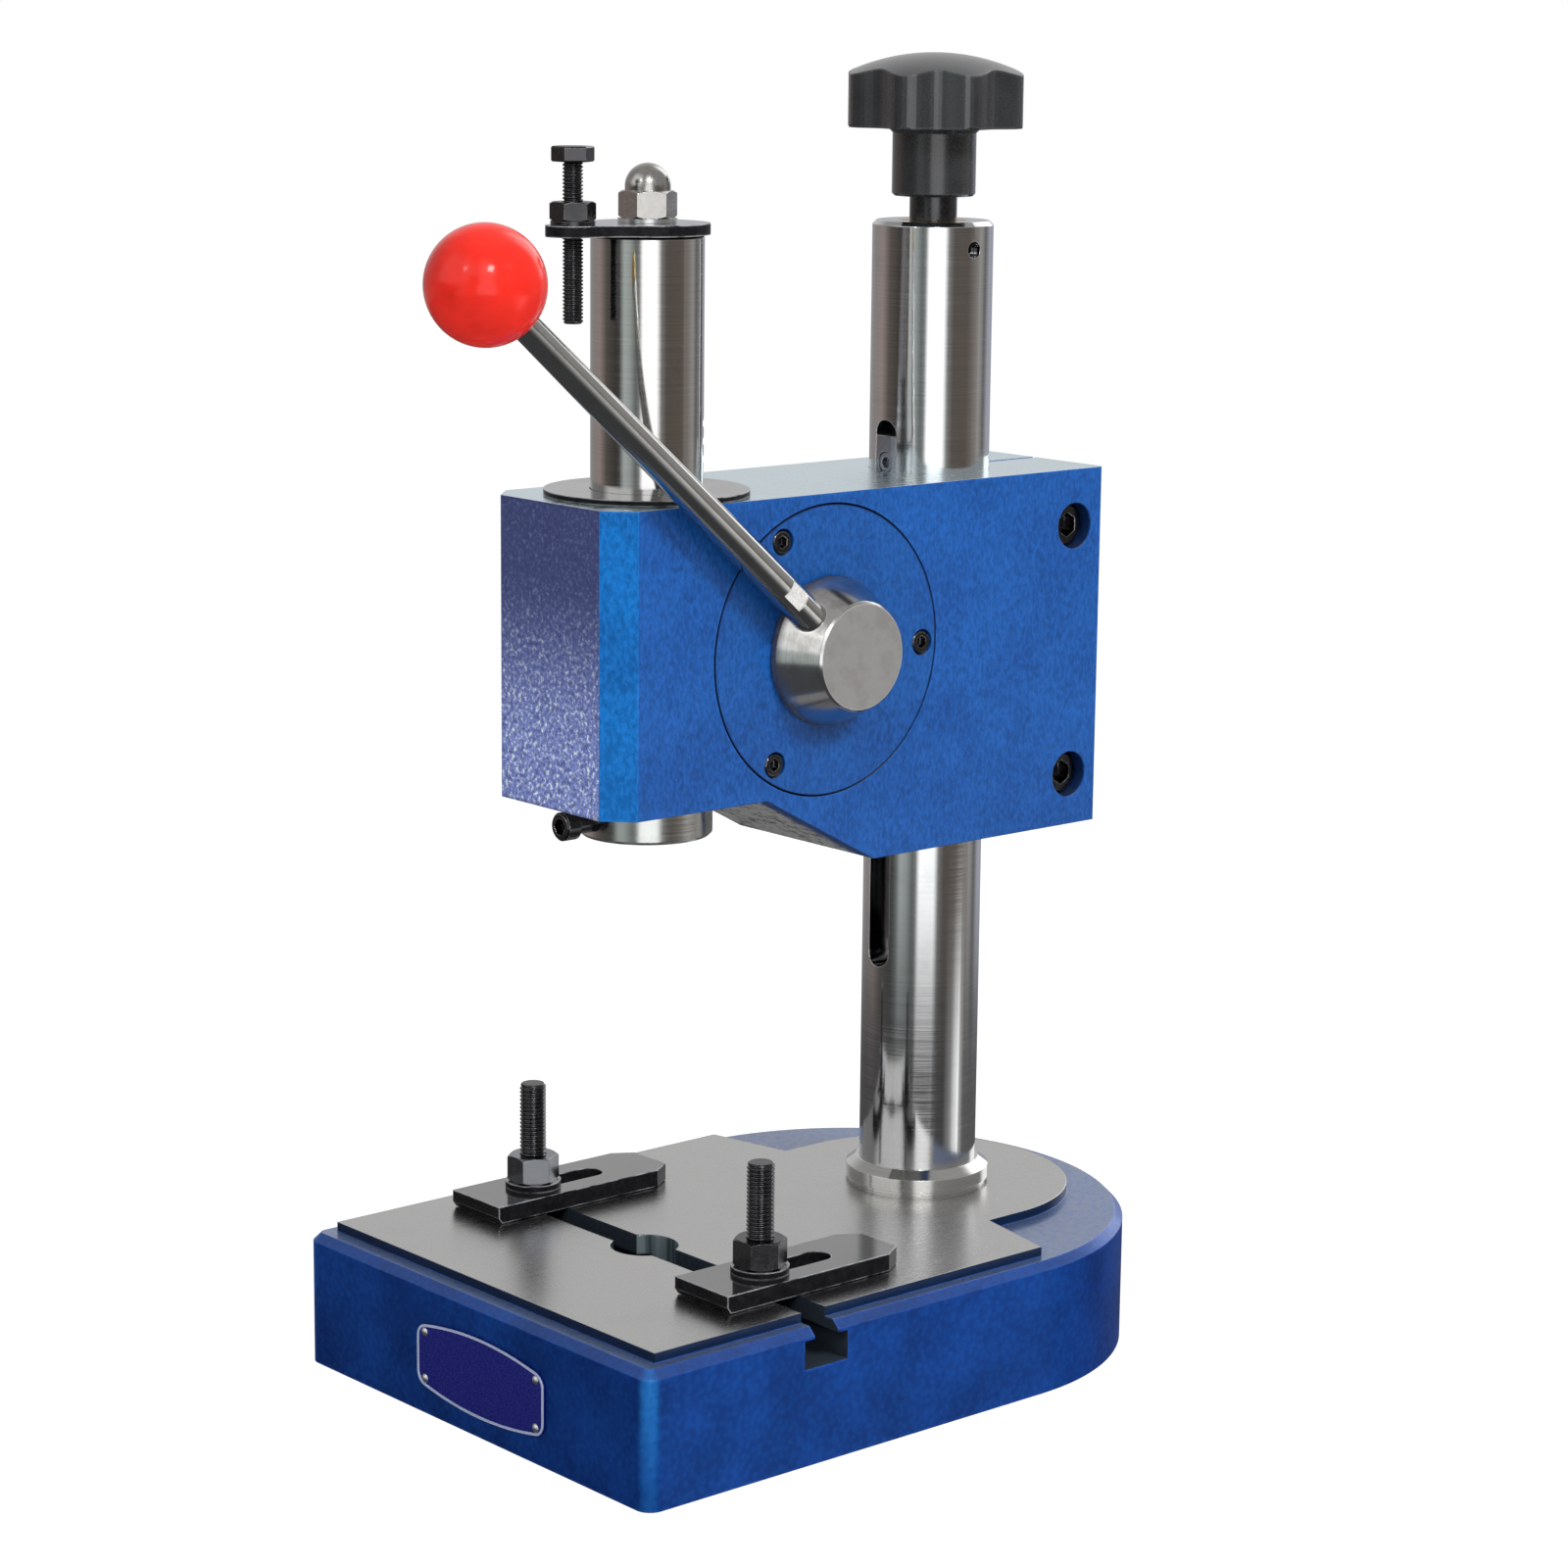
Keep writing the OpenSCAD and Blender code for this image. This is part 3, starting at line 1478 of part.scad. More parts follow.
module clamp_nut(x) {
    color("#202226")
        translate([x, 0, washer_z + washer_t])
            difference() {
                bevelled_hex(nut_af, nut_h);
                bar(bolt_d + 2 * fix_gap, -cut, nut_h + cut);
            }
}

module strap(x) {
    slot_d = bolt_d + 2 * end_gap;
    color("#202226")
        translate([x, 0, strap_z])
            difference() {
                linear_extrude(strap_t)
                    difference() {
                        polygon([
                            [-strap_w / 2, -strap_front_l],
                            [strap_w / 2, -strap_front_l],
                            [strap_w / 2, strap_rear_l - strap_cut_share * strap_cut],
                            [strap_w / 2 - strap_cut, strap_rear_l],
                            [strap_cut - strap_w / 2, strap_rear_l],
                            [-strap_w / 2, strap_rear_l - strap_cut_share * strap_cut]
                        ]);
                        circle(d = slot_d);
                        translate([0, strap_slot_l - slot_d / 2])
                            circle(d = slot_d);
                        translate([-slot_d / 2, 0])
                            square([slot_d, strap_slot_l - slot_d / 2]);
                    }
                // Bevel under the front end
                translate([-strap_w, -strap_front_l, 0])
                    rotate([90, 0, 90])
                        linear_extrude(2 * strap_w)
                            polygon([[-cut, -cut], [strap_t / 3, -cut], [0, strap_t / 3],
                                [-cut, strap_t / 3]]);
            }
}

module left_t_bolt() {
    t_bolt(-left_clamp_x);
}

module left_clamp_nut() {
    clamp_nut(-left_clamp_x);
}

module left_clamp_washer() {
    clamp_washer(-left_clamp_x);
}

module left_strap() {
    strap(-left_clamp_x);
}

module right_t_bolt() {
    t_bolt(right_clamp_x);
}

module right_clamp_nut() {
    clamp_nut(right_clamp_x);
}

module right_clamp_washer() {
    clamp_washer(right_clamp_x);
}

module right_strap() {
    strap(right_clamp_x);
}

base_casting();
column();
column_collar();
foot_screw();
foot_washer();
top_bush();
bush_pin();
nameplate();
nameplate_rivets();
lead_screw();
thrust_ring();
star_knob();
knob_insert();
knob_grub_screw();
head_casting();
gear_cover();
gear_cover_screws();
right_bush();
left_bush();
spring_cover();
spring_cover_screws();
spring_post();
wiper_ring();
lift_nut();
lift_key();
lift_key_screws();
lift_bolt();
upper_clamp_screw();
lower_clamp_screw();
drive_shaft();
drive_gear();
gear_key();
return_spring();
lever_rod();
ball_knob();
ball_insert();
ram();
nose_collar();
tool_screw();
ram_stud();
stop_plate();
cap_nut();
cap_washer();
stop_screw();
lock_nut();
lock_washer();
left_t_bolt();
left_clamp_nut();
left_clamp_washer();
left_strap();
right_t_bolt();
right_clamp_nut();
right_clamp_washer();
right_strap();
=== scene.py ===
import bpy
import math
from mathutils import Matrix, Vector


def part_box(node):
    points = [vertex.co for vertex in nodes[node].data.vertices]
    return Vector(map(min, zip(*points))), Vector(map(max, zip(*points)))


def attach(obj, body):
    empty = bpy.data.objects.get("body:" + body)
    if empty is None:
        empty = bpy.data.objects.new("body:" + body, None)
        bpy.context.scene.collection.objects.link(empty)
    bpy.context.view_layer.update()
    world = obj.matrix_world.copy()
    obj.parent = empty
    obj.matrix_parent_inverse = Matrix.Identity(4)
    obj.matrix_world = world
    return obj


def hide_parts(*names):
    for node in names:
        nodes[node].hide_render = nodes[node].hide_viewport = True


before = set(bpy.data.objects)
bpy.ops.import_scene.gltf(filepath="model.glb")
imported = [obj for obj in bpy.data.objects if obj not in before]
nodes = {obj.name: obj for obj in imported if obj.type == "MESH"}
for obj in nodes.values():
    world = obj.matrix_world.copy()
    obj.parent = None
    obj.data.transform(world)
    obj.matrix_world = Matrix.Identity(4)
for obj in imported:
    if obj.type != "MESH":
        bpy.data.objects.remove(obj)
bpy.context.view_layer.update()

# ---------------------------------------------------------------- sizes, in metres
RIM_TOP = 0.050                         # painted rim of the base
TABLE_TOP = 0.0535                      # ground table on it
TEE_FLOOR = 0.0355                      # floor of the T slot
SLOT_EDGE = (0.0103, 0.0101)            # half width of the T slot, from outside to inside
HOLE_EDGE = (0.0128, 0.0126)            # radius of the table hole, likewise
HEAD_TOP = 0.3304
HEAD_HALF = 0.0375                      # half width of the head
SHAFT = Vector((0.0, 0.053, 0.274))     # middle of the gear shaft, which lies along X
COVER_R = 0.0524                        # gear cover
SEAM_R = 0.0529                         # its pocket in the head
CLAMP_Y = 0.1764                        # recesses of the two clamp screws
CLAMP_Z = (0.214, 0.309)
CLAMP_R = 0.0089
LEVER_AXIS = (0.0, -0.757, 0.6534)      # the way the lever points at rest
FLATS = (0.0319, 0.0409)                # the lever's flats, measured along it from the shaft
SOFT = 0.0001                           # half width of the border of a mask

BOLT_SIDES = 36                         # points round a thread
ROWS_PER_PITCH = 8                      # rows of them to one turn
THREAD_DEPTH = 0.6                      # as a share of the pitch
END_BEVEL = 0.0008
HEAD_BEVEL = 0.0005
CLAMP_BOLT = {"radius": 0.005, "pitch": 0.0015}
CLAMP_BOLT_HEAD = 0.008                 # height of its head
CLAMP_THREAD_FROM = TABLE_TOP + 0.002   # its thread starts just above the table
STOP_BOLT = {"radius": 0.0036, "pitch": 0.00125}
STOP_HEAD = 0.0053                      # height of the stop screw's head
STOP_ACROSS = 0.013                     # and its width across the flats
RIM_BOW = 0.0042                        # how far the nameplate's long edges bow out
RIM_CORNER = 0.0055
# The rim of the nameplate in section: distance in from its edge, height over its face
RIM_SECTION = ((0.0001, -0.0001), (0.0003, 0.0003), (0.00105, 0.0003), (0.00125, -0.0001))

# ---------------------------------------------------------------- camera and studio
PHOTO_PX = 1600
FOCAL_PX = 4015.0
SENSOR_MM = 36.0
CAMERA_AT = (1.0742, -0.8700, 0.5030)
CAMERA_BACK = (0.7394, -0.6440, 0.1963)
CAMERA_RIGHT = (0.6568, 0.7541, 0.0)
CAMERA_ROLL = 0.59
FLOOR_HALF = 6.0
FLOOR_DROP = 0.0005
LAMP_TARGET = (0, 0.06, 0.22)
# Name, azimuth and elevation in degrees, distance, side, power, whether metal reflects it
LAMPS = (("main", 8, 40, 2.3, 0.5, 46, False), ("front", -62, 34, 2.3, 0.9, 15, False),
         ("spot", -31, 37, 1.6, 0.22, 4, True), ("window", -78, 34, 1.8, 0.16, 0.7, True),
         ("top", 120, 80, 2.0, 1.6, 12, False))
# What metal reflects round the horizon: direction in degrees, then grey level or colour
PANELS = ((-180, (0.34, 0.31, 0.31)), (-150, (0.40, 0.32, 0.30)), (-130, (0.14, 0.12, 0.11)),
          (-105, (0.065, 0.06, 0.055)), (-97, 0.08), (-86, (0.58, 0.64, 0.62)),
          (-74, (0.48, 0.52, 0.51)), (-62, (0.18, 0.21, 0.20)), (-55, 0.30), (-48, 1.9),
          (-20, 1.9), (-11, 0.30), (0, (0.145, 0.125, 0.11)), (30, (0.15, 0.125, 0.11)),
          (50, (0.28, 0.255, 0.235)), (66, (0.45, 0.43, 0.42)), (78, 0.16),
          (96, (0.48, 0.49, 0.55)), (125, (0.38, 0.39, 0.47)), (160, 0.36),
          (180, (0.34, 0.31, 0.31)))
# Above the horizon
UPPER_PANELS = ((-180, 0.40), (-140, 0.34), (-122, 1.15), (-74, 1.15), (-64, 0.30), (-50, 0.34),
                (-45, 1.7), (-22, 1.7), (-15, 0.45), (30, 0.40), (84, 0.42), (93, 2.1),
                (117, 2.1), (124, 0.68), (165, 0.68), (180, 0.40))
# Below it; the pale patch shows in the lever
LOWER_PANELS = ((-180, 0.08), (8, 0.08), (22, 0.35), (33, 1.1), (38, 1.7), (46, 1.1),
                (56, 0.15), (180, 0.08))
# High up and far down
CEILING = (0.42, 0.415, 0.41)
GROUND = (0.07, 0.072, 0.075)


# ---------------------------------------------------------------- node graphs
class Graph:
    """A material or world node tree, written as calls."""

    def __init__(self, tree):
        self.tree = tree
        tree.nodes.clear()

    def add(self, kind, props=None, **inputs):
        n = self.tree.nodes.new("ShaderNode" + kind)
        for key, value in (props or {}).items():
            setattr(n, key, value)
        for key, value in inputs.items():
            self.feed(n.inputs[key.replace("_", " ")], value)
        return n

    def feed(self, socket, value):
        if isinstance(value, bpy.types.NodeSocket):
            self.tree.links.new(value, socket)
        else:
            if socket.type == "RGBA" and len(value) == 3:
                value = (*value, 1.0)
            socket.default_value = value

    def math(self, op, *values, clamp=False):
        n = self.add("Math", {"operation": op, "use_clamp": clamp})
        for socket, value in zip(n.inputs, values):
            self.feed(socket, value)
        return n.outputs[0]

    def vmath(self, op, *values):
        n = self.add("VectorMath", {"operation": op})
        for socket, value in zip(n.inputs, values):
            self.feed(socket, value)
        return n.outputs["Value"] if op == "DOT_PRODUCT" else n.outputs[0]

    def ramp(self, value, low, high, to_low=0.0, to_high=1.0, smooth=True):
        n = self.add("MapRange", {"interpolation_type": "SMOOTHSTEP" if smooth else "LINEAR"})
        for name, v in (("Value", value), ("From Min", low), ("From Max", high),
                        ("To Min", to_low), ("To Max", to_high)):
            self.feed(n.inputs[name], v)
        return n.outputs["Result"]

    def mix(self, factor, a, b):
        """Mixed colour; a Mix node has its colours at inputs 6 and 7, its result at output 2."""
        n = self.add("Mix", {"data_type": "RGBA"})
        for socket, v in zip(n.inputs[:1] + n.inputs[6:8], (factor, a, b)):
            self.feed(socket, v)
        return n.outputs[2]

    def lerp(self, factor, a, b):
        """Mixed number; a Mix node has its numbers at inputs 2 and 3, its result at output 0."""
        n = self.add("Mix", {"data_type": "FLOAT"})
        for socket, v in zip(n.inputs[:1] + n.inputs[2:4], (factor, a, b)):
            self.feed(socket, v)
        return n.outputs[0]

    def noise(self, where, scale, detail=3.0, rough=0.5, distortion=0.0):
        n = self.add("TexNoise", Vector=where, Scale=scale, Detail=detail,
                     Roughness=rough, Distortion=distortion)
        return n.outputs["Fac"]

    def cells(self, where, scale):
        n = self.add("TexVoronoi", {"feature": "SMOOTH_F1"}, Vector=where, Scale=scale)
        return n.outputs["Distance"]

    def stretch(self, where, x, y, z):
        return self.vmath("MULTIPLY", where, (x, y, z))


class Finish(Graph):
    """A surface material with object coordinates, rounded edges and an edge mask."""

    def __init__(self, name, edge_mm):
        self.mat = bpy.data.materials.new(name)
        self.mat.use_nodes = True
        super().__init__(self.mat.node_tree)
        self.out = self.add("OutputMaterial")
        coords = self.add("TexCoord")
        self.at = coords.outputs["Object"]
        self.x, self.y, self.z = self.add("SeparateXYZ", Vector=self.at).outputs
        facing = self.add("SeparateXYZ", Vector=coords.outputs["Normal"])
        self.nx, self.ny, self.nz = facing.outputs
        self.round = self.add("Bevel", {"samples": 6}, Radius=edge_mm / 1000).outputs[0]
        flat = self.add("NewGeometry").outputs["Normal"]
        wide = self.add("Bevel", {"samples": 6}, Radius=2.2 * edge_mm / 1000).outputs[0]
        self.edge = self.ramp(self.vmath("DOT_PRODUCT", wide, flat), 0.995, 0.86)

    def bump(self, height, strength, distance_mm, normal=None):
        n = self.add("Bump", Strength=strength, Distance=distance_mm / 1000, Height=height)
        self.feed(n.inputs["Normal"], normal or self.round)
        return n.outputs[0]

    def surface(self, base, metallic, roughness, normal, **more):
        n = self.add("BsdfPrincipled")
        for key, v in {"Base Color": base, "Metallic": metallic, "Roughness": roughness,
                       "Normal": normal, **more}.items():
            self.feed(n.inputs[key], v)
        return n.outputs[0]

    def blend(self, factor, a, b):
        n = self.add("MixShader")
        for socket, v in zip(n.inputs, (factor, a, b)):
            self.feed(socket, v)
        return n.outputs[0]

    def done(self, shader):
        self.feed(self.out.inputs["Surface"], shader)
        return self.mat


# ---------------------------------------------------------------- finishes
def enamel(g, deep, light, grain, gloss, edge_glow=0.35, coat=0.12, spec=0.28, flake=None):
    """Hammered enamel: cells that pool darker, short upright dashes where the grain is given,
    paler edges, partly wear and partly a painted highlight, and a painted sheen on faces that look
    up. The flake colour, where given, glints in the panels round the studio."""
    cloud = g.noise(g.at, 38, 3)
    speck = g.noise(g.at, 950, 4, 0.7)
    pool = g.cells(g.at, 430)
    body = g.mix(g.ramp(cloud, 0.3, 0.7), deep, light)
    dark = tuple(0.6 * c for c in deep)
    body = g.mix(g.ramp(pool, 0.25, 0.75, 0.0, 0.4), body, dark)
    pale = tuple(min(1.0, 1.7 * c + 0.01) for c in light)
    body = g.mix(g.ramp(speck, 0.6, 0.8, 0.0, 0.5), body, pale)
    # Paler edges: partly wear, partly a painted highlight, as strong as edge_glow
    worn = g.math("MULTIPLY", g.edge, g.ramp(g.noise(g.at, 160, 4), 0.35, 0.65), clamp=True)
    body = g.mix(g.math("MULTIPLY", worn, edge_glow), body, pale)
    height = g.math("ADD", g.math("MULTIPLY", pool, 0.8), g.math("MULTIPLY", speck, 0.6))
    if grain:
        dash = g.noise(g.stretch(g.at, 1.0, 1.0, 0.5), grain, 2, 0.6, 0.4)
        body = g.mix(g.ramp(dash, 0.42, 0.66, 0.0, 0.26), body, pale)
        body = g.mix(g.ramp(dash, 0.5, 0.3, 0.0, 0.3), body, dark)
        height = g.math("ADD", height, dash)
    normal = g.bump(cloud, 0.25, 0.5, g.bump(height, 0.35, 0.12))
    rough = g.ramp(speck, 0.3, 0.7, gloss - 0.06, gloss + 0.12)
    # Faces that look up are glossier, as the paint has flowed level there, and are painted a paler
    # grey-blue as a painted sheen
    up = g.ramp(g.nz, 0.6, 0.95)
    body = g.mix(g.math("MULTIPLY", up, 0.55), body, (0.12, 0.155, 0.185))
    paint = g.surface(body, 0.0, rough, normal,
                      **{"Coat Weight": g.lerp(up, coat, 1.0), "Coat Roughness": 0.14,
                         "Specular IOR Level": g.lerp(up, spec, 0.8)})
    if flake:
        glint = g.surface(flake, 1.0, g.ramp(speck, 0.3, 0.7, 0.34, 0.5), normal)
        paint = g.blend(g.ramp(pool, 0.1, 0.6, 0.42, 0.2), paint, glint)
    return paint


def ground_metal(g, tone, rough, depth, streak, blot, vary=1.0):
    """Metal ground in straight passes along Y, with faint stains."""
    lines = g.noise(g.stretch(g.at, 900, 12, 900), 1.0, 5, 0.75)
    stain = g.noise(g.at, 28, 4, 0.6)
    spot = g.noise(g.at, 220, 3)
    body = g.mix(g.ramp(lines, 0.3, 0.7), tuple((1 - streak) * c for c in tone), tone)
    body = g.mix(g.ramp(stain, 0.45, 0.75, 0.0, blot), body, tuple(0.7 * c for c in tone))
    r = g.math("ADD", g.ramp(lines, 0.3, 0.7, rough - 0.05 * vary, rough + 0.08 * vary),
               g.ramp(spot, 0.5, 0.8, 0.0, 0.08 * vary))
    return g.surface(body, 1.0, r, g.bump(lines, depth, 0.01))


def turned_steel(name, tone, rough, rings, stain, depth):
    """Round steel bar: fine rings round Z, a few long drawn marks and faint stains."""
    g = Finish(name, 0.4)
    fine = g.noise(g.stretch(g.at, 30, 30, rings), 1.0, 4, 0.7)
    drawn = g.noise(g.stretch(g.at, 220, 220, 5), 1.0, 3, 0.6)
    blot = g.noise(g.at, 60, 5, 0.65)
    body = g.mix(g.ramp(fine, 0.3, 0.7), tuple(0.88 * c for c in tone), tone)
    body = g.mix(g.ramp(blot, 0.52, 0.75, 0.0, stain), body, tuple(0.62 * c for c in tone))
    body = g.mix(g.math("MULTIPLY", g.edge, 0.5), body, (0.85, 0.85, 0.86))
    r = g.math("ADD", g.ramp(fine, 0.25, 0.75, rough - 0.04, rough + 0.06),
               g.ramp(drawn, 0.5, 0.8, 0.0, 0.06))
    height = g.math("ADD", fine, g.math("MULTIPLY", drawn, 1.5))
    return g.done(g.surface(body, 1.0, r, g.bump(height, depth, 0.01)))


def plain_metal(name, tone, rough, scale, edge_mm, worn, metallic=1.0, mottle=0.35,
                edge_tone=(0.5, 0.5, 0.52), depth=0.2):
    """Blackened, plated or machined metal: fine mottle, paler worn edges."""
    g = Finish(name, edge_mm)
    fine = g.noise(g.at, scale, 5, 0.7)
    broad = g.noise(g.at, scale / 14, 4)
    body = g.mix(g.ramp(fine, 0.3, 0.75, 0.0, mottle), tone, tuple(1.9 * c + 0.01 for c in tone))
    body = g.mix(g.ramp(broad, 0.5, 0.75, 0.0, mottle), body, tuple(0.6 * c for c in tone))
    rub = g.math("MULTIPLY", g.edge, g.ramp(g.noise(g.at, scale / 3, 4), 0.35, 0.7), clamp=True)
    body = g.mix(g.math("MULTIPLY", rub, worn), body, edge_tone)
    r = g.math("ADD", g.ramp(fine, 0.3, 0.7, rough - 0.06, rough + 0.08),
               g.ramp(broad, 0.4, 0.7, 0.0, 0.08))
    return g.done(g.surface(body, metallic, r, g.bump(fine, depth, 0.03)))


def resin(name, tone, rough, coat, grain, edge_mm=0.6, pale=0.0, spec=0.5):
    """Moulded resin: slight orange peel, dust-fine grain."""
    g = Finish(name, edge_mm)
    peel = g.noise(g.at, grain, 2)
    fine = g.noise(g.at, 2400, 3, 0.6)
    cloud = g.noise(g.at, 70, 3)
    body = g.mix(g.ramp(cloud, 0.3, 0.7), tuple(0.9 * c for c in tone),
                 tuple(min(1, 1.1 * c + 0.002) for c in tone))
    body = g.mix(g.math("MULTIPLY", g.edge, pale), body, (0.3, 0.3, 0.3))
    r = g.ramp(fine, 0.3, 0.7, rough - 0.04, rough + 0.06)
    height = g.math("ADD", peel, g.math("MULTIPLY", fine, 0.25))
    return g.done(g.surface(body, 0.0, r, g.bump(height, 0.18, 0.05),
                            **{"Coat Weight": coat, "Coat Roughness": 0.06,
                               "Specular IOR Level": spec}))


def within(g, value, low, high):
    """1 where value lies between low and high."""
    return g.math("MULTIPLY", g.ramp(value, low - SOFT, low + SOFT, smooth=False),
                  g.ramp(value, high + SOFT, high - SOFT, smooth=False))


def hypot(g, a, b):
    """Length of the vector (a, b)."""
    return g.math("SQRT", g.math("ADD", g.math("MULTIPLY", a, a), g.math("MULTIPLY", b, b)))


def painted_shade(g):
    """Painted shade: dark paint where light hardly reaches."""
    return g.surface((0.004, 0.009, 0.036), 0.0, 0.4, g.round, **{"Specular IOR Level": 0.2})


def from_axis(g, y, z):
    """Distance from a line along X."""
    return hypot(g, g.math("SUBTRACT", g.y, y), g.math("SUBTRACT", g.z, z))


def near_axis(g, y, z, radius):
    """1 inside a cylinder along X."""
    return g.ramp(from_axis(g, y, z), radius + 0.0003, radius, smooth=False)


def base_finish():
    """Painted rim, ground table, bare slot and hole."""
    g = Finish("base_enamel", 0.9)
    paint = enamel(g, (0.0006, 0.013, 0.112), (0.0026, 0.034, 0.215), 0, 0.3, 1.0, 0.02, 0.06,
                   (0.025, 0.17, 0.60))
    # Painted highlight: the two front corners are painted a lighter blue, most of all at their tops
    corner = g.math("MULTIPLY", g.ramp(g.math("ABSOLUTE", g.math("MULTIPLY", g.nx, g.ny)),
                                       0.0, 0.5), g.ramp(g.y, -0.064, -0.076))
    corner = g.math("MULTIPLY", corner, g.ramp(g.z, 0.004, 0.046, 0.28, 0.8))
    corner = g.math("MULTIPLY", corner, g.ramp(g.noise(g.at, 420, 3, 0.7), 0.3, 0.6, 0.55, 1.0))
    # The lighter blue of the painted highlight on the corners
    shine = g.surface((0.010, 0.14, 0.43), 0.0, 0.2, g.round)
    paint = g.blend(corner, paint, shine)
    table = ground_metal(g, (0.56, 0.555, 0.55), 0.27, 0.015, 0.03, 0.12, 0.3)
    above = g.ramp(g.z, RIM_TOP + 0.0001, RIM_TOP + 0.0003, smooth=False)
    brush = g.noise(g.stretch(g.at, 60, 60, 700), 1.0, 3)
    flank = g.surface(g.mix(brush, (0.002, 0.006, 0.022), (0.006, 0.022, 0.070)), 0.0, 0.3,
                      g.bump(brush, 0.2, 0.05), **{"Specular IOR Level": 0.15})
    upper = g.blend(g.ramp(g.nz, 0.5, 0.9), flank, table)
    skin = g.blend(above, paint, upper)
    # Painted shade: inside the T slot the bare metal is painted dark; the hole is bare bored metal
    fine = g.noise(g.at, 700, 4, 0.6)
    shaded_slot_metal = g.surface(g.mix(fine, (0.018, 0.026, 0.042), (0.065, 0.085, 0.11)), 0.5,
                     g.ramp(fine, 0.3, 0.7, 0.3, 0.45), g.bump(fine, 0.2, 0.03))
    bands = g.noise(g.stretch(g.at, 260, 260, 8), 1.0, 2)
    bored = g.surface(g.mix(g.ramp(bands, 0.4, 0.6), (0.06, 0.09, 0.10), (0.26, 0.33, 0.36)),
                      0.6, 0.3, g.bump(fine, 0.1, 0.02))
    slot = g.math("MULTIPLY", within(g, g.z, TEE_FLOOR - 0.0004, TABLE_TOP - 0.0003),
                  g.ramp(g.math("ABSOLUTE", g.y), *SLOT_EDGE, smooth=False))
    slot = g.math("MULTIPLY", slot, g.ramp(g.math("ABSOLUTE", g.nx), 0.3, 0.2, smooth=False))
    outside = g.math("MULTIPLY", g.ramp(g.nz, 0.2, 0.4, smooth=False),
                     g.ramp(g.z, TEE_FLOOR + 0.001, TEE_FLOOR + 0.002, smooth=False))
    slot = g.math("MULTIPLY", slot, g.math("SUBTRACT", 1.0, outside))
    hole = g.math("MULTIPLY", g.ramp(hypot(g, g.x, g.y), *HOLE_EDGE, smooth=False),
                  g.ramp(g.z, TABLE_TOP - 0.0002, TABLE_TOP - 0.0003, smooth=False))
    return g.done(g.blend(hole, g.blend(slot, skin, shaded_slot_metal), bored))


def head_finish():
    """Painted sides, hammered front with a painted highlight towards its foot, bevels painted paler
    as a highlight, ground top, raw underside, painted shade in the recesses.
    """
    g = Finish("head_enamel", 0.9)
    paint = enamel(g, (0.0026, 0.049, 0.213), (0.0044, 0.067, 0.268), 820, 0.36)
    top = ground_metal(g, (0.78, 0.93, 1.0), 0.24, 0.08, 0.06, 0.1)
    scale = g.noise(g.stretch(g.at, 1, 1, 2), 260, 5, 0.7)
    sheen = g.mix(g.ramp(scale, 0.5, 0.62), (0.40, 0.40, 0.38), (0.04, 0.04, 0.05))
    spray = g.ramp(g.math("ADD", g.x, g.math("MULTIPLY", scale, 0.016)), 0.030, 0.040)
    raw = g.surface(g.mix(spray, sheen, (0.006, 0.05, 0.20)), 0.3, 0.5, g.bump(scale, 0.3, 0.1))
    # The front is hammered silver over the blue; its paling towards the foot is a painted highlight
    lower_front_highlight = g.ramp(g.z, HEAD_TOP - 0.022, HEAD_TOP - 0.092)
    hammer = g.cells(g.at, 640)
    flake = g.noise(g.at, 620, 3, 0.7, 0.3)
    tone = g.mix(lower_front_highlight, (0.047, 0.068, 0.192), (0.24, 0.32, 0.74))
    bright = g.mix(lower_front_highlight, (0.10, 0.15, 0.34), (0.92, 1.0, 1.0))
    tone = g.mix(g.ramp(flake, 0.52, 0.64), tone, bright)
    tone = g.mix(g.ramp(flake, 0.5, 0.36, 0.0, 0.6), tone, (0.035, 0.04, 0.17))
    tone = g.mix(g.ramp(hammer, 0.2, 0.75, 0.0, 0.35), tone, (0.03, 0.035, 0.16))
    tone = g.mix(g.math("MULTIPLY", g.edge, 0.7), tone, (0.035, 0.03, 0.15))
    front = g.surface(tone, 0.25, g.ramp(flake, 0.3, 0.7, 0.34, 0.5),
                      g.bump(g.math("ADD", hammer, g.math("MULTIPLY", flake, 0.9)), 0.5, 0.15))
    # The two bevels beside it are painted a lighter blue, a painted highlight
    bevel = enamel(g, (0.0014, 0.076, 0.27), (0.0022, 0.108, 0.36), 820, 0.34, 1.0, 0.08, 0.1)
    nose = g.ramp(g.y, -0.010, -0.012, smooth=False)
    forward = g.math("MULTIPLY", g.math("MULTIPLY", g.ny, -1.0), nose)
    skin = g.blend(g.ramp(forward, 0.55, 0.62, smooth=False), paint, bevel)
    skin = g.blend(g.ramp(forward, 0.9, 0.96, smooth=False), skin, front)
    up = g.math("MULTIPLY", g.ramp(g.z, HEAD_TOP - 0.0004, HEAD_TOP - 0.0001, smooth=False),
                g.ramp(g.nz, 0.5, 0.9), clamp=True)
    # Painted shade in the recesses of the clamp screws and in the seam round the gear cover
    shaded_recesses = near_axis(g, SHAFT.y, SHAFT.z, SEAM_R)
    for z in CLAMP_Z:
        shaded_recesses = g.math("MAXIMUM", shaded_recesses, near_axis(g, CLAMP_Y, z, CLAMP_R))
    shaded_recesses = g.math("MULTIPLY", shaded_recesses, g.ramp(g.math("ABSOLUTE", g.x), HEAD_HALF - 0.0002,
                                           HEAD_HALF - 0.0012))
    skin = g.blend(g.math("MULTIPLY", shaded_recesses, 0.85), skin, painted_shade(g))
    under = g.math("MULTIPLY", g.ramp(g.nz, -0.5, -0.75), g.math("SUBTRACT", 1.0, shaded_recesses))
    return g.done(g.blend(under, g.blend(up, skin, top), raw))


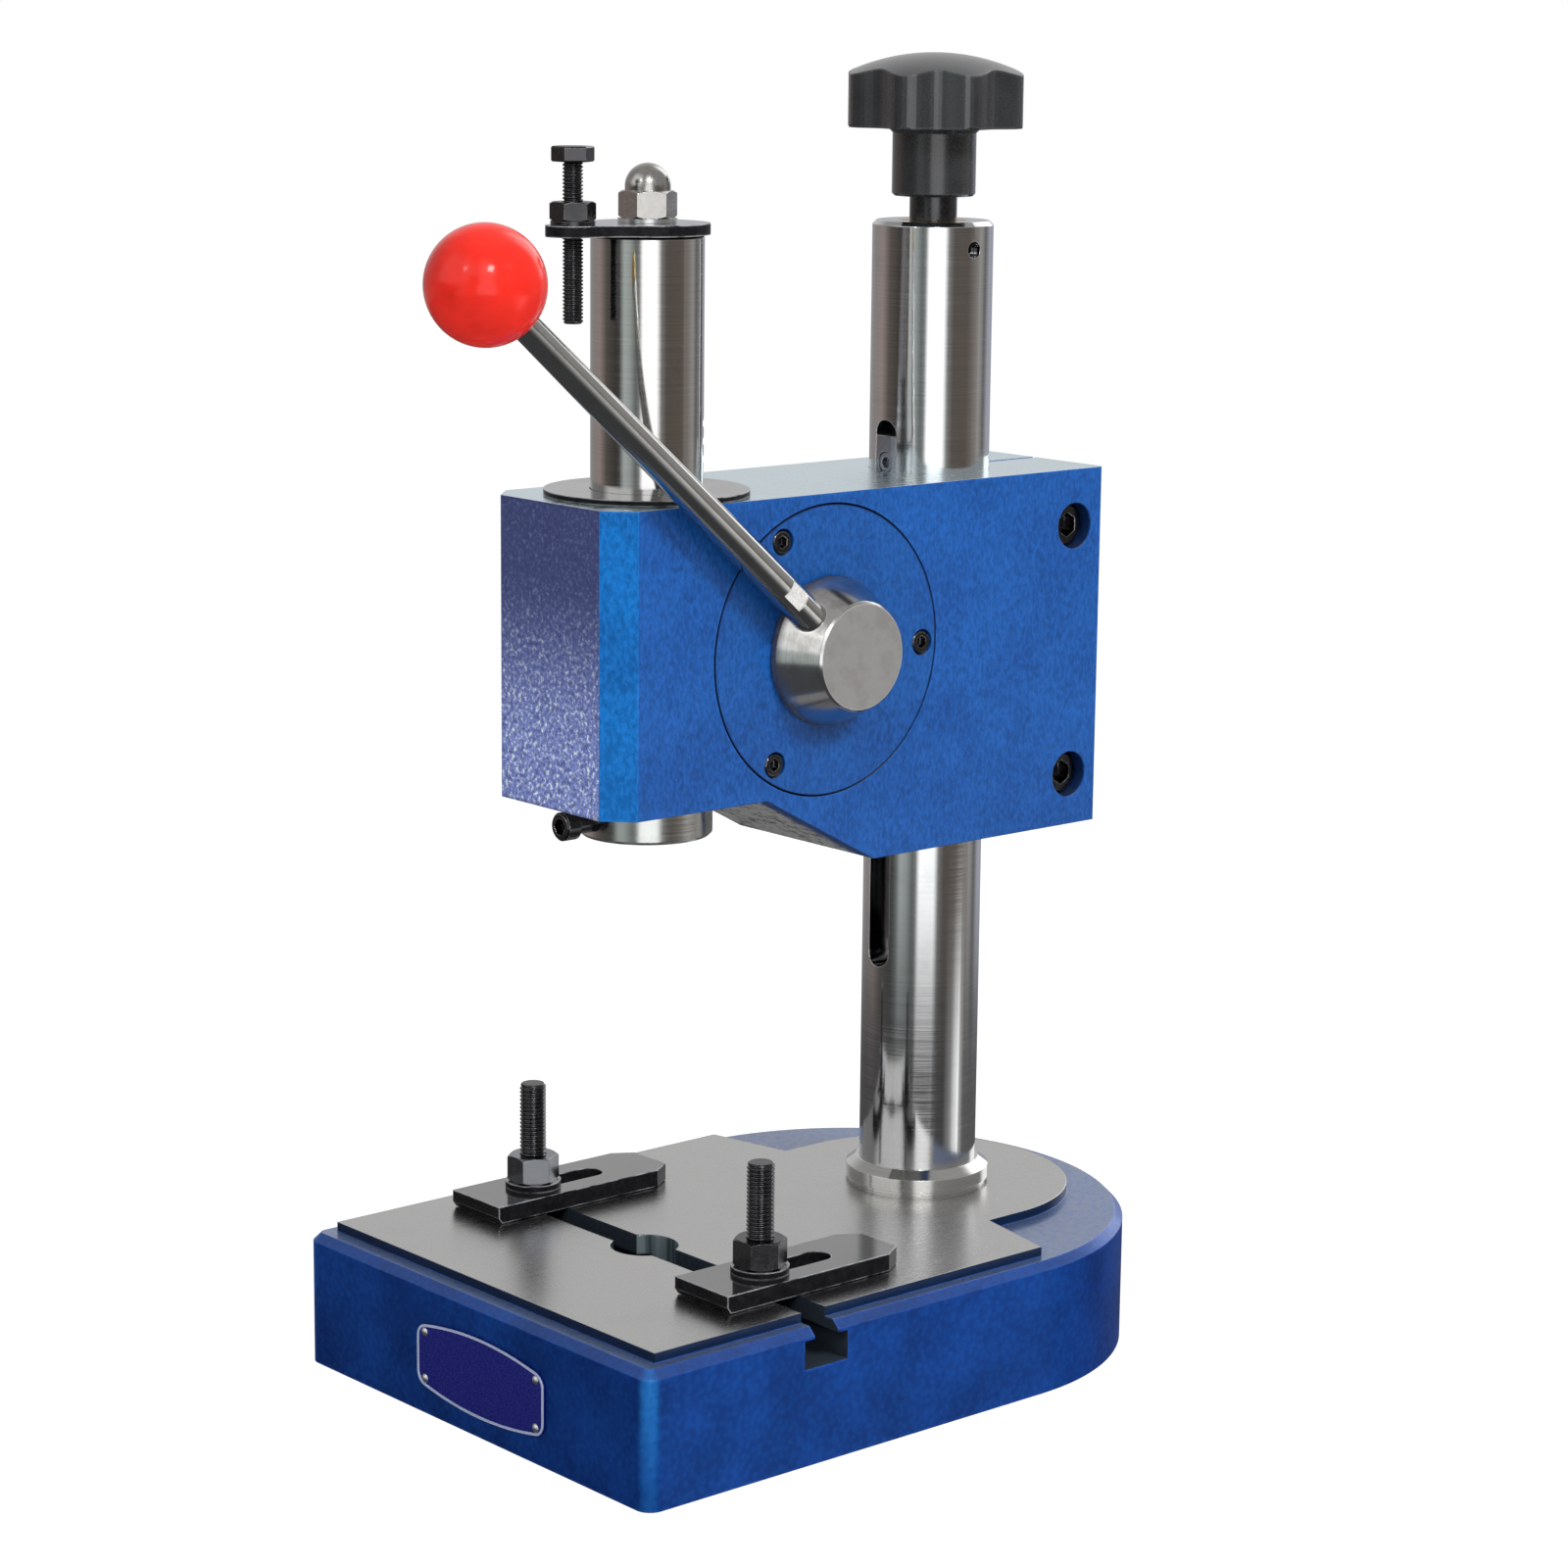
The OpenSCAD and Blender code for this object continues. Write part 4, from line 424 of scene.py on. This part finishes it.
def cover_finish():
    """Paint like the head's, with painted shade at the seam."""
    g = Finish("cover_enamel", 0.5)
    paint = enamel(g, (0.0028, 0.048, 0.205), (0.0046, 0.065, 0.252), 820, 0.36)
    # Painted shade along the cover's edge at the seam
    rim = g.ramp(from_axis(g, SHAFT.y, SHAFT.z), COVER_R - 0.0006, COVER_R - 0.0001)
    return g.done(g.blend(g.math("MULTIPLY", rim, 0.9), paint, painted_shade(g)))


def shaft_finish():
    """Polished hub and shaft: turned rings round X, a bright rim on the face."""
    g = Finish("hub_steel", 0.5)
    r = from_axis(g, SHAFT.y, SHAFT.z)
    way = g.add("CombineXYZ", X=g.math("MULTIPLY", r, 2600.0), Y=g.math("MULTIPLY", g.x, 2600.0))
    rings = g.noise(way.outputs[0], 1.0, 4, 0.7)
    blot = g.noise(g.at, 90, 5, 0.65)
    face = g.ramp(g.nx, 0.9, 0.98)
    tone = g.mix(face, (0.68, 0.68, 0.67), (0.39, 0.39, 0.385))
    tone = g.mix(g.ramp(rings, 0.35, 0.7, 0.0, 0.3), tone, (0.34, 0.335, 0.33))
    tone = g.mix(g.ramp(blot, 0.42, 0.7, 0.0, 0.5), tone, (0.28, 0.26, 0.23))
    tone = g.mix(g.math("MULTIPLY", g.edge, 0.9), tone, (0.95, 0.95, 0.95))
    rough = g.math("ADD", g.lerp(face, 0.15, 0.36), g.ramp(rings, 0.3, 0.7, -0.02, 0.05))
    steel = g.surface(tone, g.lerp(face, 1.0, 0.7), rough, g.bump(rings, 0.03, 0.01))
    # Painted shade: the foot of the hub is painted dark
    shaded_foot = g.surface(g.mix(g.ramp(blot, 0.4, 0.6), (0.030, 0.034, 0.060), (0.075, 0.070, 0.078)),
                        0.2, 0.45, g.round, **{"Specular IOR Level": 0.25})
    foot = g.ramp(g.x, HEAD_HALF + 0.0055, HEAD_HALF + 0.0020, 0.0, 0.85)
    return g.done(g.blend(foot, steel, shaded_foot))


def lever_finish():
    """Polished rod with two ground flats."""
    g = Finish("lever_steel", 0.25)
    fine = g.noise(g.at, 500, 5, 0.7)
    blot = g.noise(g.at, 70, 4, 0.6)
    tone = g.mix(g.ramp(fine, 0.3, 0.75, 0.0, 0.3), (0.52, 0.515, 0.50), (0.44, 0.43, 0.41))
    tone = g.mix(g.ramp(blot, 0.5, 0.75, 0.0, 0.3), tone, (0.33, 0.32, 0.30))
    tone = g.mix(g.math("MULTIPLY", g.edge, 0.5), tone, (0.9, 0.9, 0.9))
    rod = g.surface(tone, 1.0, g.ramp(fine, 0.3, 0.7, 0.09, 0.17), g.bump(fine, 0.02, 0.02))
    along = g.vmath("DOT_PRODUCT", g.vmath("SUBTRACT", g.at, tuple(SHAFT)), LEVER_AXIS)
    flat = g.math("MULTIPLY", within(g, along, *FLATS),
                  g.ramp(g.math("ABSOLUTE", g.nx), 0.985, 0.995))
    scratch = g.noise(g.stretch(g.at, 1.0, 6.0, 6.0), 260, 3, 0.7)
    ground = g.surface(g.mix(g.ramp(scratch, 0.35, 0.7), (0.78, 0.77, 0.76), (0.50, 0.49, 0.47)),
                       0.35, 0.4, g.bump(scratch, 0.1, 0.02))
    return g.done(g.blend(flat, rod, ground))


def plate_finish():
    """Blue field of the nameplate."""
    g = Finish("plate_enamel", 0.2)
    fine = g.noise(g.at, 1500, 3)
    body = g.mix(g.ramp(fine, 0.3, 0.7), (0.006, 0.008, 0.115), (0.010, 0.013, 0.150))
    return g.done(g.surface(body, 0.0, g.ramp(fine, 0.3, 0.7, 0.22, 0.32),
                            g.bump(fine, 0.1, 0.02), **{"Specular IOR Level": 0.15}))


def black_plate_finish(name, shine):
    """Blackened plate: mirror-like from above, dull at its sides, bright edges that are partly wear
    and partly a painted highlight.
    """
    g = Finish(name, 0.4)
    fine = g.noise(g.at, 420, 4, 0.65)
    broad = g.noise(g.at, 34, 3)
    body = g.mix(g.ramp(fine, 0.35, 0.75), (0.005, 0.005, 0.006), (0.013, 0.013, 0.014))
    # Pale edges: partly wear, partly a painted highlight
    rub = g.math("MULTIPLY", g.edge, g.ramp(g.noise(g.at, 140, 4), 0.3, 0.6), clamp=True)
    body = g.mix(g.math("MULTIPLY", rub, 0.85), body, (0.46, 0.48, 0.50))
    up = g.ramp(g.nz, 0.5, 0.9)
    rough = g.math("ADD", g.lerp(up, 0.35, 0.13), g.ramp(broad, 0.4, 0.7, 0.0, 0.08))
    return g.done(g.surface(body, 0.0, rough, g.bump(fine, 0.15, 0.02),
                            **{"Coat Weight": g.lerp(up, 0.0, shine), "Coat Roughness": 0.08,
                               "Specular IOR Level": g.lerp(up, 0.07, 0.8 * shine)}))


BASE = base_finish()
HEAD = head_finish()
COVER = cover_finish()
PLATE = plate_finish()
COLUMN = turned_steel("column_steel", (0.64, 0.645, 0.65), 0.09, 2600, 0.25, depth=0.08)
RAM = turned_steel("ram_steel", (0.60, 0.595, 0.585), 0.09, 2200, 0.3, depth=0.08)
COLLAR = turned_steel("collar_steel", (0.64, 0.64, 0.62), 0.08, 1400, 0.15, depth=0.05)
HUB = shaft_finish()
LEVER = lever_finish()
BRIGHT = plain_metal("bright_steel", (0.40, 0.39, 0.375), 0.21, 700, 0.3, 0.25, mottle=0.25,
                     edge_tone=(0.6, 0.6, 0.6), depth=0.08)
NOSE = turned_steel("nose_steel", (0.68, 0.70, 0.68), 0.17, 1400, 0.25, depth=0.06)
ZINC = plain_metal("zinc_plate", (0.62, 0.63, 0.64), 0.3, 900, 0.25, 0.3, mottle=0.12)
RIM = plain_metal("rim_metal", (0.42, 0.48, 0.66), 0.35, 900, 0.1, 0.3, metallic=0.35,
                  mottle=0.12)
MACHINED = plain_metal("machined_steel", (0.42, 0.42, 0.43), 0.32, 800, 0.25, 0.4, mottle=0.2)
SPRING = plain_metal("spring_steel", (0.12, 0.13, 0.17), 0.3, 600, 0.15, 0.3)
BRONZE = plain_metal("bronze", (0.50, 0.30, 0.11), 0.3, 500, 0.3, 0.3, mottle=0.2,
                     edge_tone=(0.75, 0.55, 0.3))
BRASS = plain_metal("brass", (0.62, 0.43, 0.16), 0.25, 700, 0.2, 0.3, mottle=0.12,
                    edge_tone=(0.8, 0.65, 0.35))
BLACK = plain_metal("black_oxide", (0.060, 0.060, 0.064), 0.2, 700, 0.3, 0.6, mottle=0.4,
                    edge_tone=(0.34, 0.33, 0.33), depth=0.08)
SOCKET = plain_metal("socket_black", (0.050, 0.050, 0.055), 0.18, 500, 0.3, 0.95, mottle=0.4,
                     edge_tone=(0.85, 0.86, 0.88), depth=0.08)
BLACK_PLATE = black_plate_finish("black_plate", 0.95)
WIPER = black_plate_finish("wiper_black", 0.65)
NUT = plain_metal("bright_black", (0.21, 0.22, 0.24), 0.14, 700, 0.3, 0.6, mottle=0.2,
                  edge_tone=(0.4, 0.4, 0.4), depth=0.05)
KEY = plain_metal("key_steel", (0.26, 0.27, 0.30), 0.3, 700, 0.3, 0.9, mottle=0.2,
                  edge_tone=(0.8, 0.8, 0.8), depth=0.05)
KNOB = resin("knob_resin", (0.015, 0.0165, 0.018), 0.28, 0.5, 500, 0.9, 0.12)
RED = resin("ball_resin", (0.62, 0.017, 0.009), 0.2, 0.25, 120, spec=0.2)

FINISHES = {
    BASE: "base_casting", HEAD: "head_casting", COVER: "gear_cover spring_cover",
    PLATE: "nameplate", COLUMN: "column", RAM: "ram", COLLAR: "column_collar",
    NOSE: "nose_collar", HUB: "drive_shaft", LEVER: "lever_rod", BRIGHT: "cap_nut",
    KEY: "lift_key lift_key_screws", WIPER: "wiper_ring", NUT: "left_clamp_nut",
    ZINC: "cap_washer foot_washer nameplate_rivets",
    MACHINED: "spring_post drive_gear gear_key ram_stud lead_screw", SPRING: "return_spring",
    BRONZE: "top_bush right_bush left_bush lift_nut", BRASS: "knob_insert ball_insert",
    BLACK: "foot_screw bush_pin thrust_ring knob_grub_screw lift_bolt stop_screw lock_nut "
           "lock_washer left_t_bolt right_t_bolt right_clamp_nut",
    SOCKET: "gear_cover_screws spring_cover_screws upper_clamp_screw lower_clamp_screw "
            "tool_screw",
    BLACK_PLATE: "stop_plate left_clamp_washer left_strap right_clamp_washer right_strap",
    KNOB: "star_knob", RED: "ball_knob",
}
for finish, names in FINISHES.items():
    for name in names.split():
        mesh = nodes[name].data
        mesh.materials.clear()
        mesh.materials.append(finish)


# ---------------------------------------------------------------- pieces with finer shapes
def linked(name, data):
    obj = bpy.data.objects.new(name, data)
    bpy.context.scene.collection.objects.link(obj)
    return obj


def mesh_object(name, verts, faces, finish):
    mesh = bpy.data.meshes.new(name)
    mesh.from_pydata(verts, [], faces)
    mesh.update()
    mesh.materials.append(finish)
    return linked(name, mesh)


def threaded_bar(name, x, y, z0, z1, from_z, radius, pitch):
    """Black bar along Z with a helical thread; from z0 to from_z it stays plain."""
    sides, bevel = BOLT_SIDES, END_BEVEL
    deep = THREAD_DEPTH * pitch
    rows = [z0, z0 + bevel]
    if from_z > z0 + bevel:
        rows.append(from_z - 0.0001)
    step = pitch / ROWS_PER_PITCH
    count = int((z1 - bevel - from_z) / step)
    rows += [from_z + step * i for i in range(1, count + 1)] + [z1 - bevel / 2, z1]
    verts, faces = [], []
    for z in rows:
        for k in range(sides):
            a = 2 * math.pi * k / sides
            phase = (z / pitch - k / sides) % 1.0
            cut = deep * max(0.0, 1.0 - abs(2.0 * phase - 1.0) * 1.25)
            if z <= from_z:
                cut = 0.0
            limit = radius - max(0.0, z - (z1 - bevel)) - max(0.0, (z0 + bevel) - z)
            rr = min(limit, radius - cut)
            verts.append((x + rr * math.cos(a), y + rr * math.sin(a), z))
    for i in range(len(rows) - 1):
        for k in range(sides):
            n = (k + 1) % sides
            faces.append((i * sides + k, i * sides + n, (i + 1) * sides + n, (i + 1) * sides + k))
    top = (len(rows) - 1) * sides
    faces += [tuple(reversed(range(sides))), tuple(range(top, top + sides))]
    obj = mesh_object(name, verts, faces, BLACK)
    for p in obj.data.polygons[:-2]:
        p.use_smooth = True
    return obj


def prism(name, outline, z0, z1):
    """Black bar along Z on a convex outline, with both ends bevelled."""
    bevel = HEAD_BEVEL
    cx = sum(p[0] for p in outline) / len(outline)
    cy = sum(p[1] for p in outline) / len(outline)
    reach = max(math.hypot(p[0] - cx, p[1] - cy) for p in outline)
    rings = [(z0, 1 - bevel / reach), (z0 + bevel, 1.0), (z1 - bevel, 1.0),
             (z1, 1 - bevel / reach)]
    verts = [(cx + (px - cx) * k, cy + (py - cy) * k, z) for z, k in rings for px, py in outline]
    n = len(outline)
    faces = [(i * n + k, i * n + (k + 1) % n, (i + 1) * n + (k + 1) % n, (i + 1) * n + k)
             for i in range(3) for k in range(n)]
    faces += [tuple(reversed(range(n))), tuple(range(3 * n, 4 * n))]
    return mesh_object(name, verts, faces, BLACK)


def joined(name, parts):
    """One object from several."""
    keep = parts[0]
    with bpy.context.temp_override(active_object=keep, selected_editable_objects=parts,
                                   selected_objects=parts):
        bpy.ops.object.join()
    keep.name = keep.data.name = name
    return keep


def t_bolt(side):
    """T bolt with its thread cut, in place of the plain one."""
    low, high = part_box(side + "_t_bolt")
    x, half = (low[0] + high[0]) / 2, (high[0] - low[0]) / 2
    head_top = low[2] + CLAMP_BOLT_HEAD
    block = prism(side + "_head", [(x - half, -half), (x + half, -half), (x + half, half),
                                   (x - half, half)], low[2], head_top)
    bar = threaded_bar(side + "_bar", x, 0.0, head_top - HEAD_BEVEL, high[2], CLAMP_THREAD_FROM,
                       **CLAMP_BOLT)
    bolt = joined(side + "_threaded_bolt", [block, bar])
    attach(bolt, side + "_clamp")
    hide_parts(side + "_t_bolt")


def stop_bolt():
    """Stop screw with its thread cut, in place of the plain one."""
    low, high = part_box("stop_screw")
    y = (low[1] + high[1]) / 2
    under = high[2] - STOP_HEAD
    reach = STOP_ACROSS / math.cos(math.pi / 6) / 2
    corners = [(reach * math.cos(math.pi / 3 * k), y + reach * math.sin(math.pi / 3 * k))
               for k in range(6)]
    head = prism("stop_head", corners, under, high[2])
    bar = threaded_bar("stop_bar", 0.0, y, low[2], under + 0.0003, low[2], **STOP_BOLT)
    bolt = joined("threaded_stop_screw", [bar, head])
    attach(bolt, "stop")
    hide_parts("stop_screw")


def bowed_outline(half_w, half_h, inset):
    """Points round a plate with round corners and bowed long edges, counter-clockwise."""
    steps, long_steps = 8, 24
    big = (half_w ** 2 + RIM_BOW ** 2) / (2 * RIM_BOW)
    cx = half_w - RIM_CORNER
    cz = math.sqrt((big - RIM_CORNER) ** 2 - cx ** 2) - big + half_h
    turn = math.atan2(cz + big - half_h, cx)
    small = RIM_CORNER - inset
    corner = [(cx + small * math.cos(turn * i / steps), cz + small * math.sin(turn * i / steps))
              for i in range(steps + 1)]
    angles = [turn + (math.pi - 2 * turn) * i / long_steps for i in range(1, long_steps)]
    edge = [((big - inset) * math.cos(a), half_h - big + (big - inset) * math.sin(a))
            for a in angles]
    upper = corner + edge + [(-x, z) for x, z in reversed(corner)]
    return upper + [(-x, -z) for x, z in upper]


def plate_frame():
    """Raised bright rim round the nameplate."""
    low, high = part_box("nameplate")
    cx, cz = (low[0] + high[0]) / 2, (low[2] + high[2]) / 2
    half_w, half_h = (high[0] - low[0]) / 2, (high[2] - low[2]) / 2
    verts, faces = [], []
    for inset, lift in RIM_SECTION:
        loop = bowed_outline(half_w, half_h, inset)
        verts += [(cx + px, low[1] - lift, cz + pz) for px, pz in loop]
    n = len(loop)
    for i in range(len(RIM_SECTION) - 1):
        for k in range(n):
            a, b = i * n + k, i * n + (k + 1) % n
            faces.append((a, b, b + n, a + n))
    rim = mesh_object("nameplate_rim", verts, faces, RIM)
    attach(rim, "base")


t_bolt("left")
t_bolt("right")
stop_bolt()
plate_frame()


# ---------------------------------------------------------------- stage, lamps, camera
def make_floor():
    """Pale matt floor, near white to the camera and not seen in metal."""
    g = Finish("floor_paint", 0.1)
    soft = g.surface((0.86, 0.86, 0.86), 0.0, 0.9, g.round, **{"Specular IOR Level": 0.0})
    white = g.add("Emission", Color=(1, 1, 1), Strength=1.2).outputs[0]
    ray = g.add("LightPath").outputs["Is Camera Ray"]
    g.done(g.blend(g.math("MULTIPLY", ray, 0.8), soft, white))
    half = FLOOR_HALF
    floor = mesh_object("floor", [(-half, -half, 0), (half, -half, 0), (half, half, 0),
                                  (-half, half, 0)], [(0, 1, 2, 3)], g.mat)
    floor.location.z = -FLOOR_DROP
    floor.visible_glossy = False


def make_world():
    """White to the camera, plain grey light for matt surfaces, panels for metal to reflect."""
    world = bpy.data.worlds.new("studio")
    bpy.context.scene.world = world
    world.use_nodes = True
    g = Graph(world.node_tree)
    out = g.add("OutputWorld")
    toward = g.add("TexCoord").outputs["Generated"]
    x, y, z = g.add("SeparateXYZ", Vector=toward).outputs
    azimuth = g.math("DIVIDE", g.math("ARCTAN2", y, x), 2 * math.pi)
    turn = g.math("ADD", azimuth, 0.5)

    def ring(levels):
        n = g.add("ValToRGB", Fac=turn)
        ramp = n.color_ramp
        while len(ramp.elements) > 1:
            ramp.elements.remove(ramp.elements[-1])
        for i, (angle, level) in enumerate(levels):
            at = (angle + 180) / 360
            e = ramp.elements[0] if i == 0 else ramp.elements.new(at)
            e.position = at
            e.color = (*(level if isinstance(level, tuple) else (level,) * 3), 1)
        return n.outputs["Color"]

    glossy = g.mix(g.ramp(z, 0.02, 0.12), ring(PANELS), ring(UPPER_PANELS))
    glossy = g.mix(g.ramp(z, 0.62, 0.9), glossy, CEILING)
    glossy = g.mix(g.ramp(z, -0.215, -0.27), glossy, ring(LOWER_PANELS))
    glossy = g.mix(g.ramp(z, -0.3, -0.75), glossy, GROUND)
    path = g.add("LightPath")
    plain = g.mix(g.ramp(z, -0.2, 0.6), (0.17, 0.172, 0.18), (0.34, 0.345, 0.355))
    mirror = g.math("MAXIMUM", path.outputs["Is Glossy Ray"], path.outputs["Is Transmission Ray"])
    colour = g.mix(mirror, plain, glossy)
    colour = g.mix(path.outputs["Is Camera Ray"], colour, (1, 1, 1))
    back = g.add("Background", Color=colour, Strength=1.0)
    g.feed(out.inputs["Surface"], back.outputs[0])


def make_lamp(name, azimuth, elevation, distance, side, power, glossy):
    data = bpy.data.lights.new(name, "AREA")
    data.shape = "RECTANGLE"
    data.size = data.size_y = side
    data.energy = power
    lamp = linked(name, data)
    a, e = math.radians(azimuth), math.radians(elevation)
    away = Vector((math.cos(a) * math.cos(e), math.sin(a) * math.cos(e), math.sin(e)))
    lamp.location = Vector(LAMP_TARGET) + distance * away
    lamp.rotation_euler = away.to_track_quat("Z", "Y").to_euler()
    lamp.visible_glossy = glossy


def make_camera():
    """Camera where the photo was taken from, as solved from its edges."""
    back = Vector(CAMERA_BACK).normalized()
    right = Vector(CAMERA_RIGHT)
    right = (right - back * right.dot(back)).normalized()
    up = back.cross(right)
    roll = math.radians(CAMERA_ROLL)
    r = math.cos(roll) * right + math.sin(roll) * up
    u = -math.sin(roll) * right + math.cos(roll) * up
    data = bpy.data.cameras.new("camera")
    data.lens = FOCAL_PX / PHOTO_PX * SENSOR_MM
    data.sensor_width = SENSOR_MM
    camera = linked("camera", data)
    rows = [(r[i], u[i], back[i], CAMERA_AT[i]) for i in range(3)]
    camera.matrix_world = Matrix((*rows, (0, 0, 0, 1)))
    bpy.context.scene.camera = camera


make_floor()
make_world()
for lamp in LAMPS:
    make_lamp(*lamp)
make_camera()
# The photo shows no red in the polished column, ram and hub
nodes["ball_knob"].visible_glossy = False
bpy.context.scene.view_settings.view_transform = "Standard"
